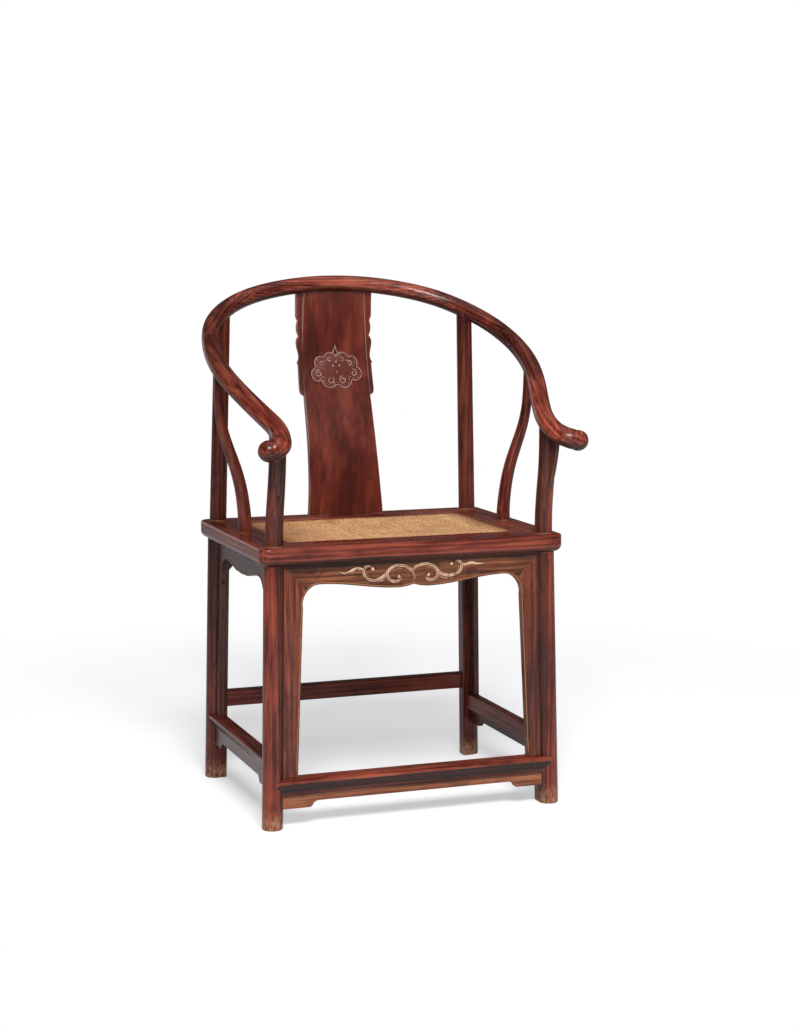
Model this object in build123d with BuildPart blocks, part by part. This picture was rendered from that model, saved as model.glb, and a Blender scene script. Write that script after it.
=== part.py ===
from build123d import *

import os
from math import cos, radians, sin, sqrt

# A Chinese horseshoe-back armchair (quanyi): mitred seat frame with a cane mat, four leaning legs that
# run up through the frame as posts, a scarf-jointed crest rail that sweeps down into the two hands,
# an S-curved splat, arched aprons under the seat and stepped stretchers with a footrest in front.
# Millimetres, +Z up, -Y is the front. X = 0 is the plane of symmetry, so most pieces are made for the
# right-hand side (+X) and mirrored.

os.makedirs("parts", exist_ok=True)

# ---------------------------------------------------------------- driving dimensions
fit_gap = 0.15  # clearance left around every joint

# seat frame
seat_width = 590.0
seat_depth = 444.0
seat_height = 516.5
seat_thickness = 33.5
seat_centre_y = 9.9  # the seat's centre stands behind the middle of the chair's depth
seat_rail_width = 62.0
seat_corner_radius = 19.0
seat_top_edge_radius = 5.0
seat_bottom_edge_radius = 13.5  # the moulded edge rolls under at its lower side
frame_tenon_width = 12.0
frame_tenon_thickness = 10.0
frame_tenon_reach = 30.0
frame_tenon_inset = 3.0
frame_tenon_drop = 8.0  # from the rebate's floor down to the tenon

# cane mat and what carries it
rebate_width = 12.0
rebate_depth = 8.0
cane_thickness = 2.0
webbing_thickness = 3.0
webbing_inset = 3.0
edge_strip_width = 8.5
peg_radius = 1.5
peg_length = 16.0
long_peg_places = (-0.8, -0.4, 0.0, 0.4, 0.8)  # as shares of the opening's half length
short_peg_places = (-2 / 3, 0.0, 2 / 3)
brace_spread = 75.0
brace_width = 26.0
brace_thickness = 20.0
brace_sag = 16.0
brace_drop = 1.5  # from the rebate's floor down to a brace's ends
brace_tenon_width = 20.0
brace_tenon_thickness = 10.0
brace_tenon_length = 14.0

# legs: where their axes pass the seat's top, from the seat's edges, and how far they splay to the floor
leg_inset_x = 31.5
leg_inset_y = 27.6
leg_splay_x = 10.0
leg_splay_y = 9.0
leg_radius = 19.2
foot_chamfer = 1.5
rear_post_radius = 16.6
front_post_radius = 16.8
post_top_radius = 15.3
post_tenon_radius = 6.5
post_tenon_reach = 5.0
post_shoulder_overlap = 12.0

# crest rail: its axis from the middle of the back to the centre of the right hand, as distance from
# the plane of symmetry, distance behind the seat's back edge or front edge, and height over the seat
rail_back_knots = [
    (0.0, 37.8, 460.8),
    (120.8, 25.0, 450.8),
    (211.6, -6.2, 427.6),
    (267.9, -54.3, 397.8),
    (301.8, -132.8, 360.1),
]
rail_hand_knots = [
    (311.0, 216.7, 313.3),
    (293.3, 128.6, 268.3),
    (268.1, 46.8, 227.5),
    (261.0, 9.0, 211.0),
    (264.0, -24.0, 195.8),
    (275.5, -49.5, 186.5),
    (295.5, -54.0, 180.5),
]
rail_back_radius = 15.7
rail_neck_radius = 17.6
hand_neck_radius = 18.9  # of the tube, where it runs into the ball at the hand's end
hand_radius = 19.4
rail_station_spacing = 26.0
hand_length = 138.0  # the rail's last stretch bends tightly, so its sections stand closer
close_station_spacing = 12.0
shoulder_joint_arc = 224.0  # arc length from the middle of the back to the scarf's centre
arm_joint_arc = 440.0
scarf_length = 72.0
wedge_pin_size = 8.0
rear_post_arc = 276.0
side_post_arc = 501.8
front_post_setback = 86.0  # arc length from the hand's end back to the front post
cope_reach = 55.0  # arc length of rail that is scribed into a post's head
splat_cope_reach = 130.0

# side posts
side_post_inset_x = 31.3  # from the seat's edge to the post's axis
side_post_knots = [(0.4, 20.0), (2.0, 56.0), (11.2, 102.5), (26.0, 150.0), (41.2, 197.0), (47.6, 250.0)]
side_post_base_radius = 13.1
side_post_head_radius = 8.2
side_post_tenon_radius = 7.5
side_post_tenon_length = 18.0

# front posts: how far the gooseneck has bent forward at each height over the seat
gooseneck_knots = [(0.0, 6.0), (3.2, 52.0), (10.2, 92.0), (17.0, 132.0), (19.8, 170.0)]

# arm spandrels
spandrel_angle = 20.0
spandrel_thickness = 8.0
spandrel_top_width = 17.5
spandrel_foot_width = 5.0
spandrel_drop = 116.5  # from the rail's axis down to the spandrel's foot
spandrel_housing = 4.0

# splat
splat_thickness = 11.0
splat_edge_knots = [(78.0, 0.0), (70.3, 180.0), (67.5, 335.0), (62.0, 461.0)]
splat_curve = [  # distance behind the seat's back edge, and height over the seat
    (-30.4, -14.0), (-29.4, 24.0), (-22.0, 81.0), (-6.0, 152.0), (16.5, 223.0),
    (35.5, 295.0), (43.4, 367.0), (43.8, 414.0), (39.0, 461.0),
]
splat_foot_tenon = (124.0, 6.0, 12.0)  # width, thickness and length
splat_head_tenon_half_width = 52.0
splat_head_tenon_thickness = 5.0
splat_head_tenon_root = 1.2  # how far under the rail's axis it leaves the splat, in radii of the rail

# splat flanges: their outer edge, as half widths and heights over the seat
flange_shoulder = [(79.8, 394.5), (76.0, 385.5)]
flange_upper_lobe = [(78.4, 370.5), (74.3, 355.0)]
flange_lower_lobe = [(79.5, 342.0), (75.5, 319.0), (79.4, 302.0)]
flange_lower_edge = [(77.2, 298.5), (78.3, 252.0), (77.8, 244.0), (75.5, 239.0), (71.5, 236.5)]
flange_foot_height = 236.0
flange_thickness = 7.0
flange_setback = 1.0
flange_tongue = 3.0
flange_tongue_thickness = 3.0

# aprons and stiles under the seat
front_board_proud = 8.5  # the boards' faces stand this far outside the legs' axes
side_board_proud = 5.0
front_board_thickness = 10.0
side_board_thickness = 9.0
leg_housing_depth = 5.0
top_tongue_height = 4.0
top_tongue_thickness = 4.0
top_tongue_end_margin = 30.0  # from a leg's surface to the tongue's end
mitre_tenon_thickness = 3.4
mitre_tenon_length = 8.0
mitre_tenon_span = (0.25, 0.7)  # where the tenon starts and ends, as shares of the mitre
# arch outlines, as (distance from the legs' axes, drop under the seat's top); the last two points of
# each are the lobe and the cusp in the middle, as (distance from the middle, drop)
front_arch_corner = [
    (50.5, 112.5), (56.5, 86.5), (73.5, 73.0), (91.5, 71.5), (120.5, 73.5), (177.5, 81.1),
]
front_arch_middle = [(30.0, 85.5), (0.0, 80.5)]
front_mitre_corner = (58.5, 83.5)
front_stile_foot_width = 45.2  # from the leg's axis to the stile's inner edge, at its foot
side_arch_corner = [(45.4, 120.5), (50.4, 86.5), (69.4, 68.0), (91.4, 66.0), (124.4, 70.5)]
side_arch_middle = [(36.0, 76.5), (0.0, 78.0)]
side_mitre_corner = (51.9, 82.5)
side_stile_foot_width = 47.1
rear_apron_drop = 79.5
rear_apron_bracket_drop = 101.5
rear_apron_bracket_length = 20.0
rear_board_proud = 4.0

# stretchers
rear_stretcher_bottom = 142.5
rear_stretcher_height = 31.5
rear_stretcher_thickness = 24.0
side_stretcher_top = 131.0
side_stretcher_height = 28.5
side_stretcher_setback = 11.5  # from the leg's axis to the inner face
side_stretcher_flat = 16.0  # width of the flat top before the nose
side_stretcher_nose = 29.0  # distance from the inner face to the tip of the nose
footrest_top = 92.5
footrest_height = 31.0
footrest_setback = 11.5  # from the leg's axis to the back face
footrest_flat = 22.0
footrest_nose = 36.0
nose_drop = 7.0  # the nose's arris lies this far under the top
nose_tuck = 10.0  # and the underside tucks back by this much
nose_root_drop = 24.0  # at this depth under the top
stretcher_end_spread = 4.0  # how far the scribed ends run past the legs' axes
stretcher_end_radius = 14.0
stretcher_tenon = (14.0, 20.0, 14.0)  # thickness, width and length
rear_stretcher_edge_radius = 3.0

# aprons under the stretchers
low_board_thickness = 8.0
footrest_apron_bottom = 48.0
footrest_bracket_bottom = 36.5
footrest_bracket_inset = 79.5  # from the leg's axis to the bracket's step
footrest_apron_inset = 14.5  # from the footrest's nose to the board's face
side_apron_bottom = 83.0
side_bracket_bottom = 71.0
side_bracket_inset = 74.0
side_apron_inset = 11.0

# ---------------------------------------------------------------- derived values
leg_top_spread_x = seat_width / 2 - leg_inset_x
leg_top_spread_y = seat_depth / 2 - leg_inset_y
foot_spread_x = leg_top_spread_x + leg_splay_x
foot_spread_y = leg_top_spread_y + leg_splay_y
side_post_spread_x = seat_width / 2 - side_post_inset_x
seat_bottom = seat_height - seat_thickness
shoulder_z = seat_bottom - fit_gap
opening_half_x = seat_width / 2 - seat_rail_width
opening_half_y = seat_depth / 2 - seat_rail_width
lean_x = leg_splay_x / seat_height
lean_y = leg_splay_y / seat_height
overrun = 1.0  # how far a cutting shape runs past the face that it cuts through


# ---------------------------------------------------------------- helpers
def save(piece, name):
    """Label a finished piece and write it as a STEP file of the same name."""
    piece.part.label = name
    export_step(piece.part, f"parts/{name}.step")
    print(f"{name}: {len(piece.part.solids())} solid(s), {piece.part.volume / 1000:.1f} cm3")


def save_pair(right_piece, name):
    """Write a right-hand piece and its mirror image."""
    save(right_piece, f"{name}_right")
    with BuildPart() as left_piece:
        mirror(right_piece.part, about=Plane.YZ)
    save(left_piece, f"{name}_left")


def leg_x(z):
    """Half spread of the legs' axes across the chair at a height."""
    return foot_spread_x - lean_x * z


def leg_y(z):
    """Half spread of the legs' axes from front to back at a height."""
    return foot_spread_y - lean_y * z


def leg_axis(z, facing):
    """Point on the axis of the right front (facing -1) or right rear (facing +1) leg."""
    return Vector(leg_x(z), seat_centre_y + facing * leg_y(z), z)


def tapered_bar(stations):
    """Round bar through (plane, radius) stations."""
    sections = []
    for plane, radius in stations:
        with BuildSketch(plane, mode=Mode.PRIVATE) as section:
            Circle(radius)
        sections.append(section.sketch)
    with BuildPart(mode=Mode.PRIVATE) as bar:
        loft(sections)
    return bar.part


def block(low, high):
    """Box between two corners."""
    size = Vector(*high) - Vector(*low)
    middle = (Vector(*high) + Vector(*low)) * 0.5
    with BuildPart(mode=Mode.PRIVATE) as box:
        with Locations(middle):
            Box(size.X, size.Y, size.Z)
    return box.part


def upright_peg(centre, radius, low_z, high_z):
    """Vertical cylinder through a point's X and Y."""
    with BuildPart(mode=Mode.PRIVATE) as peg:
        with BuildSketch(Plane.XY.offset(low_z)):
            with Locations((centre.X, centre.Y)):
                Circle(radius)
        extrude(amount=high_z - low_z)
    return peg.part


# ---------------------------------------------------------------- crest rail axis
seat_back_y = seat_centre_y + seat_depth / 2
seat_front_y = seat_centre_y - seat_depth / 2
right_knots = [(x, seat_back_y + behind, seat_height + height) for x, behind, height in rail_back_knots]
right_knots += [(x, seat_front_y + behind, seat_height + height) for x, behind, height in rail_hand_knots]
with BuildLine() as rail_axis:
    Spline(*[(-x, y, z) for x, y, z in reversed(right_knots[1:])], *right_knots)
rail_curve = rail_axis.edge()
rail_half_arc = rail_curve.length / 2
hand_start_arc = rail_half_arc - hand_length
front_post_arc = rail_half_arc - front_post_setback


def rail_frame(arc):
    """Plane across the rail at an arc length from the middle of the back; Y points up."""
    share = 0.5 + arc / (2 * rail_half_arc)
    tangent = rail_curve.tangent_at(share)
    across = Vector(0, 0, 1).cross(tangent)
    return Plane(origin=rail_curve.position_at(share), x_dir=across, z_dir=tangent)


def rail_radius(arc):
    """The rail thickens evenly from the back to its necks, and then swells into the hands."""
    neck = rail_back_radius + (rail_neck_radius - rail_back_radius) * min(1.0, abs(arc) / hand_start_arc)
    swell = max(0.0, abs(arc) - hand_start_arc) / hand_length
    return neck + (hand_neck_radius - rail_neck_radius) * swell**2


def rail_tube(start, end, grow=0.0, spacing=rail_station_spacing):
    """Stretch of the round rail between two arc lengths."""
    count = max(3, round((end - start) / spacing) + 1)
    arcs = [start + (end - start) * i / (count - 1) for i in range(count)]
    return tapered_bar([(rail_frame(arc), rail_radius(arc) + grow) for arc in arcs])


def cope(arc):
    """Stretch of the rail that a post's head is scribed to."""
    return rail_tube(arc - cope_reach, arc + cope_reach, fit_gap, close_station_spacing)


def scarf_block(arc, from_end, to_end, from_side, to_side):
    """Box in the frame of a scarf joint: along the rail, and up across its half-lap plane."""
    reach = 3 * rail_neck_radius
    frame = rail_frame(arc)
    with BuildPart(mode=Mode.PRIVATE) as box:
        with BuildSketch(frame.offset(from_end)):
            with Locations((0, (from_side + to_side) / 2)):
                Rectangle(2 * reach, to_side - from_side)
        extrude(amount=to_end - from_end)
    return box.part


def wedge_pin(arc, grow=0.0):
    """Square pin that crosses a scarf joint in its half-lap plane."""
    frame = rail_frame(arc)
    width = 2 * rail_radius(arc) - 1 + 4 * grow
    with BuildPart(mode=Mode.PRIVATE) as pin:
        with BuildSketch(frame.offset(-wedge_pin_size / 2 - grow)):
            Rectangle(width, wedge_pin_size + 2 * grow)
        extrude(amount=wedge_pin_size + 2 * grow)
    return pin.part


scarf_half = scarf_length / 2
lap_reach = 3 * rail_neck_radius


def scarf_cuts(arc, outward, keeps_lower):
    """Blocks that a section loses at a half-lap scarf; outward is the direction of its end."""
    half_gap = fit_gap / 2
    beyond = outward * 2 * scarf_length
    lapped = sorted((-outward * (scarf_half + half_gap), beyond))
    past_end = sorted((outward * (scarf_half - half_gap), beyond))
    lost_half = (-half_gap, lap_reach) if keeps_lower else (-lap_reach, half_gap)
    return [
        scarf_block(arc, *lapped, *lost_half),
        scarf_block(arc, *past_end, -lap_reach, lap_reach),
    ]


# ---------------------------------------------------------------- heads of the posts in the rail
rear_head = rail_frame(rear_post_arc).origin
side_head = rail_frame(side_post_arc).origin
front_head = rail_frame(front_post_arc).origin
post_heads = [
    (rear_head, post_tenon_radius),
    (side_head, post_tenon_radius - 1),
    (front_head, post_tenon_radius),
]


def head_tenon(head, radius, grow=0.0):
    """Round tenon that rises from a post into the rail."""
    return upright_peg(head, radius + grow, head.Z - 2.2 * rail_neck_radius, head.Z + post_tenon_reach + grow)


# ---------------------------------------------------------------- crest rail sections
splat_top_y = seat_back_y + splat_curve[-1][0]
splat_head_z = right_knots[0][2]


def splat_head_tenon(grow=0.0):
    """Flat tenon on the splat's head, inside the rail."""
    half_thickness = splat_head_tenon_thickness / 2 + grow
    half_width = splat_head_tenon_half_width + grow
    low_z = splat_head_z - splat_head_tenon_root * rail_back_radius
    return block(
        (-half_width, splat_top_y - half_thickness, low_z),
        (half_width, splat_top_y + half_thickness, splat_head_z + grow),
    )


past_scarf = scarf_half + close_station_spacing
back_end = shoulder_joint_arc + past_scarf
with BuildPart() as crest_rail_back:
    add(rail_tube(-back_end, back_end))
    for side in (-1, 1):
        for cut in scarf_cuts(side * shoulder_joint_arc, side, keeps_lower=True):
            add(cut, mode=Mode.SUBTRACT)
        add(wedge_pin(side * shoulder_joint_arc, fit_gap), mode=Mode.SUBTRACT)
    add(splat_head_tenon(fit_gap), mode=Mode.SUBTRACT)
save(crest_rail_back, "crest_rail_back")

with BuildPart() as crest_rail_shoulder:
    add(rail_tube(shoulder_joint_arc - past_scarf, arm_joint_arc + past_scarf))
    upper_lap = scarf_cuts(shoulder_joint_arc, -1, keeps_lower=False)
    lower_lap = scarf_cuts(arm_joint_arc, 1, keeps_lower=True)
    for cut in upper_lap + lower_lap:
        add(cut, mode=Mode.SUBTRACT)
    for arc in (shoulder_joint_arc, arm_joint_arc):
        add(wedge_pin(arc, fit_gap), mode=Mode.SUBTRACT)
    add(head_tenon(rear_head, post_tenon_radius, fit_gap), mode=Mode.SUBTRACT)
save_pair(crest_rail_shoulder, "crest_rail_shoulder")

with BuildPart() as arm_rail:
    add(rail_tube(arm_joint_arc - past_scarf, hand_start_arc))
    add(rail_tube(hand_start_arc, rail_half_arc, spacing=close_station_spacing))
    with Locations(rail_frame(rail_half_arc).origin):
        Sphere(hand_radius)
    for cut in scarf_cuts(arm_joint_arc, -1, keeps_lower=False):
        add(cut, mode=Mode.SUBTRACT)
    add(wedge_pin(arm_joint_arc, fit_gap), mode=Mode.SUBTRACT)
    for head, radius in post_heads[1:]:
        add(head_tenon(head, radius, fit_gap), mode=Mode.SUBTRACT)
save_pair(arm_rail, "arm_rail")

with BuildPart() as crest_rail_wedge_pins:
    for arc in (-arm_joint_arc, -shoulder_joint_arc, shoulder_joint_arc, arm_joint_arc):
        add(wedge_pin(arc))
save(crest_rail_wedge_pins, "crest_rail_wedge_pins")

# ---------------------------------------------------------------- posts
def bar_along(curve, start_radius, end_radius, grow=0.0, spacing=45.0):
    """Round bar whose radius changes evenly along a curve."""
    count = max(3, round(curve.length / spacing) + 1)
    stations = []
    for i in range(count):
        share = i / (count - 1)
        plane = Plane(origin=curve.position_at(share), x_dir=(1, 0, 0), z_dir=curve.tangent_at(share))
        stations.append((plane, start_radius + (end_radius - start_radius) * share + grow))
    return tapered_bar(stations)


post_foot_z = shoulder_z - post_shoulder_overlap
rear_post_foot = leg_axis(post_foot_z, 1)
front_post_foot = leg_axis(post_foot_z, -1)

with BuildLine() as rear_post_axis:
    Line(rear_post_foot, rear_head)

front_post_points = [front_post_foot]
for forward, height in gooseneck_knots:
    drift = (front_head.X - leg_top_spread_x) * height / (front_head.Z - seat_height)
    front_post_points.append(
        Vector(leg_top_spread_x + drift, seat_centre_y - leg_top_spread_y - forward, seat_height + height)
    )
with BuildLine() as front_post_axis:
    Spline(*front_post_points, front_head)

side_post_points = [Vector(side_post_spread_x, seat_centre_y, seat_height + fit_gap)]
for outward, height in side_post_knots:
    drift = (side_head.Y - seat_centre_y) * height / (side_head.Z - seat_height)
    side_post_points.append(Vector(side_post_spread_x + outward, seat_centre_y + drift, seat_height + height))
with BuildLine() as side_post_axis:
    Spline(*side_post_points, side_head, tangents=[(0, 0, 1), (0, 0, 1)])


def rear_post(grow=0.0):
    """Straight upper part of a rear leg."""
    return bar_along(rear_post_axis.edge(), rear_post_radius, post_top_radius, grow)


def front_post(grow=0.0):
    """Gooseneck upper part of a front leg."""
    return bar_along(front_post_axis.edge(), front_post_radius, post_top_radius, grow)


def lower_leg(facing, grow=0.0):
    """Right leg below the seat: round outside, square on its inner corner."""
    foot = leg_axis(0, facing)
    lean = leg_axis(shoulder_z, facing) - foot
    quarter = leg_radius / 2
    with BuildPart(mode=Mode.PRIVATE) as leg:
        with BuildSketch(Plane.XY):
            with Locations((foot.X, foot.Y)):
                Circle(leg_radius + grow)
            with Locations((foot.X - quarter - grow / 2, foot.Y - facing * (quarter + grow / 2))):
                Rectangle(leg_radius + grow, leg_radius + grow)
        extrude(amount=lean.length, dir=lean)
    return leg.part


# ---------------------------------------------------------------- boards between the legs
def board_plane(facing, proud):
    """Outer face of a board between two legs; facing is its outward direction, as (x, y)."""
    out_x, out_y = facing
    origin = Vector(out_x * (foot_spread_x + proud), seat_centre_y + out_y * (foot_spread_y + proud), 0)
    normal = Vector(out_x, out_y, lean_x * abs(out_x) + lean_y * abs(out_y))
    return Plane(origin=origin, x_dir=Vector(-out_y, out_x, 0), z_dir=normal)


def half_span(facing, z):
    """Half the distance between the axes of the two legs that a board joins."""
    return leg_x(z) if facing[1] else leg_y(z)


def housed_half_width(facing, z, grow=0.0):
    """Half width of a board that is let into the legs at both ends."""
    return half_span(facing, z) - leg_radius + leg_housing_depth + grow


def prism(plane, points, thickness):
    """Straight-edged plate behind a plane."""
    with BuildPart(mode=Mode.PRIVATE) as plate:
        with BuildSketch(plane):
            with BuildLine():
                Polyline(*points, close=True)
            make_face()
        extrude(amount=-thickness)
    return plate.part


def housing(facing, proud, thickness, low_z, high_z):
    """Groove that both legs get for a board that stands between them."""
    low = housed_half_width(facing, low_z, fit_gap)
    high = housed_half_width(facing, high_z, fit_gap)
    points = [(-low, low_z), (low, low_z), (high, high_z), (-high, high_z)]
    return prism(board_plane(facing, proud + fit_gap), points, thickness + 2 * fit_gap)


def tongue(facing, proud, thickness, half_length, grow=0.0):
    """Tongue on an apron's top edge, let into the underside of the seat frame."""
    middle = half_span((facing[1], facing[0]), seat_bottom) + proud - thickness / 2
    half_thickness = top_tongue_thickness / 2 + grow
    out_x, out_y = facing
    half_x = abs(out_x) * half_thickness + abs(out_y) * (half_length + grow)
    half_y = abs(out_y) * half_thickness + abs(out_x) * (half_length + grow)
    centre = Vector(out_x * middle, seat_centre_y + out_y * middle, 0)
    low_z = seat_bottom - top_tongue_height
    high_z = seat_bottom + top_tongue_height + grow
    return block(
        (centre.X - half_x, centre.Y - half_y, low_z), (centre.X + half_x, centre.Y + half_y, high_z)
    )


def mitre_points(facing, corner):
    """Ends of the mitre on the right-hand side of an arched board, run past both its ends."""
    inner = Vector(*corner)
    outer = Vector(housed_half_width(facing, shoulder_z), shoulder_z)
    along = outer - inner
    return inner - along * 0.5, outer + along * 0.5


def mitre_tenon(facing, proud, thickness, corner, side, grow=0.0):
    """Thin tenon across a mitre, on the apron's end."""
    inner = Vector(*corner)
    along = Vector(housed_half_width(facing, shoulder_z), shoulder_z) - inner
    outward = Vector(along.Y, -along.X).normalized()
    first, last = mitre_tenon_span
    low = inner + along * first - along.normalized() * grow
    high = inner + along * last + along.normalized() * grow
    reach = outward * (mitre_tenon_length + grow)
    points = [low - outward, high - outward, high + reach, low + reach]
    depth = thickness / 2 - mitre_tenon_thickness / 2 - grow
    plane = board_plane(facing, proud).offset(-depth)
    return prism(plane, [(side * p.X, p.Y) for p in points], mitre_tenon_thickness + 2 * grow)


def arch_points(leg_spread, corner, middle):
    """Arch outline from its springing to the cusp, in the board's own frame."""
    points = [(leg_spread - inset, seat_height - drop) for inset, drop in corner]
    return points + [(x, seat_height - drop) for x, drop in middle]


def arched_board(facing, proud, thickness, arch, foot_half_width, foot_z):
    """The whole arch under the seat, before the mitres part it into an apron and two stiles."""
    outer_foot = housed_half_width(facing, foot_z)
    outer_top = housed_half_width(facing, shoulder_z)
    spring = arch[0]
    low_z = foot_z - overrun
    with BuildPart(mode=Mode.PRIVATE) as board:
        with BuildSketch(board_plane(facing, proud)):
            with BuildLine():
                Polyline((0, shoulder_z), (outer_top, shoulder_z), (outer_foot, low_z),
                         (foot_half_width, low_z), spring)
                Spline(*arch[:-1])
                TangentArc(arch[-2], arch[-1], tangent=(-1, 0))
                mirror(about=Plane.YZ)
            make_face()
        extrude(amount=-thickness)
        add(block((-seat_width, -seat_width, 0), (seat_width, seat_width, foot_z)), mode=Mode.SUBTRACT)
    return board.part


def apron_region(facing, corner, proud):
    """Everything over the two mitres."""
    inner, outer = mitre_points(facing, corner)
    points = [(inner.X - fit_gap, inner.Y), (outer.X - fit_gap, outer.Y),
              (fit_gap - outer.X, outer.Y), (fit_gap - inner.X, inner.Y)]
    return prism(board_plane(facing, proud + 5), points, 30)


def stile_region(facing, corner, proud, side):
    """Everything beside one mitre and below it."""
    inner, outer = mitre_points(facing, corner)
    points = [(inner.X, inner.Y), (outer.X, outer.Y), (outer.X + 30, 0), (inner.X, 0)]
    return prism(board_plane(facing, proud + 5), [(side * x, y) for x, y in points], 30)


front = (0, -1)
rear = (0, 1)
right = (1, 0)

front_board = (front, front_board_proud, front_board_thickness)
side_board = (right, side_board_proud, side_board_thickness)
rear_board = (rear, rear_board_proud, side_board_thickness)
front_stile_foot_z = footrest_top + fit_gap
side_stile_foot_z = side_stretcher_top + fit_gap
front_tongue_half_length = leg_top_spread_x - leg_radius - top_tongue_end_margin
side_tongue_half_length = leg_top_spread_y - leg_radius - top_tongue_end_margin

front_arch = arch_points(leg_top_spread_x, front_arch_corner, front_arch_middle)
side_arch = arch_points(leg_top_spread_y, side_arch_corner, side_arch_middle)
front_mitre = arch_points(leg_top_spread_x, [front_mitre_corner], [])[0]
side_mitre = arch_points(leg_top_spread_y, [side_mitre_corner], [])[0]
front_foot_half_width = leg_x(front_stile_foot_z) - front_stile_foot_width
side_foot_half_width = leg_y(side_stile_foot_z) - side_stile_foot_width
front_arch_board = arched_board(*front_board, front_arch, front_foot_half_width, front_stile_foot_z)
side_arch_board = arched_board(*side_board, side_arch, side_foot_half_width, side_stile_foot_z)

with BuildPart() as front_apron:
    add(front_arch_board)
    add(apron_region(front, front_mitre, front_board_proud), mode=Mode.INTERSECT)
    for side in (-1, 1):
        add(mitre_tenon(*front_board, front_mitre, side))
    add(tongue(*front_board, front_tongue_half_length))
save(front_apron, "front_apron")

with BuildPart() as front_stile:
    add(front_arch_board)
    add(stile_region(front, front_mitre, front_board_proud, 1), mode=Mode.INTERSECT)
    add(mitre_tenon(*front_board, front_mitre, 1, fit_gap), mode=Mode.SUBTRACT)
save_pair(front_stile, "front_stile")

with BuildPart() as side_apron:
    add(side_arch_board)
    add(apron_region(right, side_mitre, side_board_proud), mode=Mode.INTERSECT)
    for side in (-1, 1):
        add(mitre_tenon(*side_board, side_mitre, side))
    add(tongue(*side_board, side_tongue_half_length))
save_pair(side_apron, "side_apron")

for name, side in (("side_front_stile", -1), ("side_rear_stile", 1)):
    with BuildPart() as side_stile:
        add(side_arch_board)
        add(stile_region(right, side_mitre, side_board_proud, side), mode=Mode.INTERSECT)
        add(mitre_tenon(*side_board, side_mitre, side, fit_gap), mode=Mode.SUBTRACT)
    save_pair(side_stile, name)


def bracketed_outline(facing, bottom, bracket_bottom, bracket_x, top_z):
    """Outline of a straight apron with a stepped bracket at each end."""
    step = bottom - bracket_bottom
    low = housed_half_width(facing, bracket_bottom)
    high = housed_half_width(facing, top_z)
    with BuildLine() as outline:
        Polyline((0, top_z), (high, top_z), (low, bracket_bottom), (bracket_x + step, bracket_bottom))
        RadiusArc((bracket_x + step, bracket_bottom), (bracket_x + step * 0.4, bracket_bottom + step * 0.5),
                  step * 0.8)
        RadiusArc((bracket_x + step * 0.4, bracket_bottom + step * 0.5), (bracket_x - step * 0.4, bottom),
                  -step * 1.2)
        Line((bracket_x - step * 0.4, bottom), (0, bottom))
        mirror(about=Plane.YZ)
    return outline.line


def bracketed_board(facing, proud, thickness, outline):
    """Board cut to an outline, with its face on the board plane."""
    with BuildPart(mode=Mode.PRIVATE) as board:
        with BuildSketch(board_plane(facing, proud)):
            make_face(outline.edges())
        extrude(amount=-thickness)
    return board.part


rear_apron_bottom = seat_height - rear_apron_drop
rear_apron_bracket_bottom = seat_height - rear_apron_bracket_drop
rear_outline = bracketed_outline(
    rear, rear_apron_bottom, rear_apron_bracket_bottom,
    half_span(rear, rear_apron_bracket_bottom) - leg_radius - rear_apron_bracket_length, shoulder_z
)
with BuildPart() as rear_apron:
    add(bracketed_board(*rear_board, rear_outline))
    add(tongue(*rear_board, front_tongue_half_length))
save(rear_apron, "rear_apron")


# ---------------------------------------------------------------- stretchers
def nosed_profile(plane, height, flat, nose):
    """Section of a stretcher with an arris along its nose: local X runs outward, local Y up."""
    with BuildSketch(plane, mode=Mode.PRIVATE) as profile:
        with BuildLine():
            tuck_x = nose - nose_tuck
            tuck_y = height - nose_root_drop
            arris = (nose, height - nose_drop)
            Polyline((flat, height), (0, height), (0, 0), (tuck_x, 0), (tuck_x, tuck_y), arris)
            Spline(arris, (flat, height), tangents=[(-0.5, 1), (-1, 0)])
        make_face()
    return profile.sketch


footrest_bottom = footrest_top - footrest_height
footrest_back_y = leg_y(footrest_top) - footrest_setback
side_stretcher_bottom = side_stretcher_top - side_stretcher_height
side_stretcher_inner_x = leg_x(side_stretcher_top) - side_stretcher_setback
footrest_nose_y = seat_centre_y - footrest_back_y - footrest_nose


def leg_tenon(facing, centre_z, grow=0.0):
    """Pair of tenons at a stretcher's ends, centred on the axes of the legs; facing as for boards."""
    thickness, width, length = stretcher_tenon
    out_x, out_y = facing
    start = half_span(facing, centre_z) - leg_radius - length / 2
    end = half_span(facing, centre_z) - leg_radius + length + grow
    across = half_span((out_y, out_x), centre_z)
    half_thickness = thickness / 2 + grow
    tenons = []
    for side in (-1, 1):
        low, high = sorted((side * start, side * end))
        low_z = centre_z - width / 2 - grow
        high_z = centre_z + width / 2 + grow
        if out_y:
            y = seat_centre_y + out_y * across
            tenons.append(block((low, y - half_thickness, low_z), (high, y + half_thickness, high_z)))
        else:
            x = out_x * across
            y = seat_centre_y
            tenons.append(block((x - half_thickness, y + low, low_z), (x + half_thickness, y + high, high_z)))
    return tenons


footrest_tenon_z = footrest_bottom + footrest_height / 2
side_tenon_z = side_stretcher_bottom + side_stretcher_height / 2
rear_tenon_z = rear_stretcher_bottom + rear_stretcher_height / 2

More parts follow.
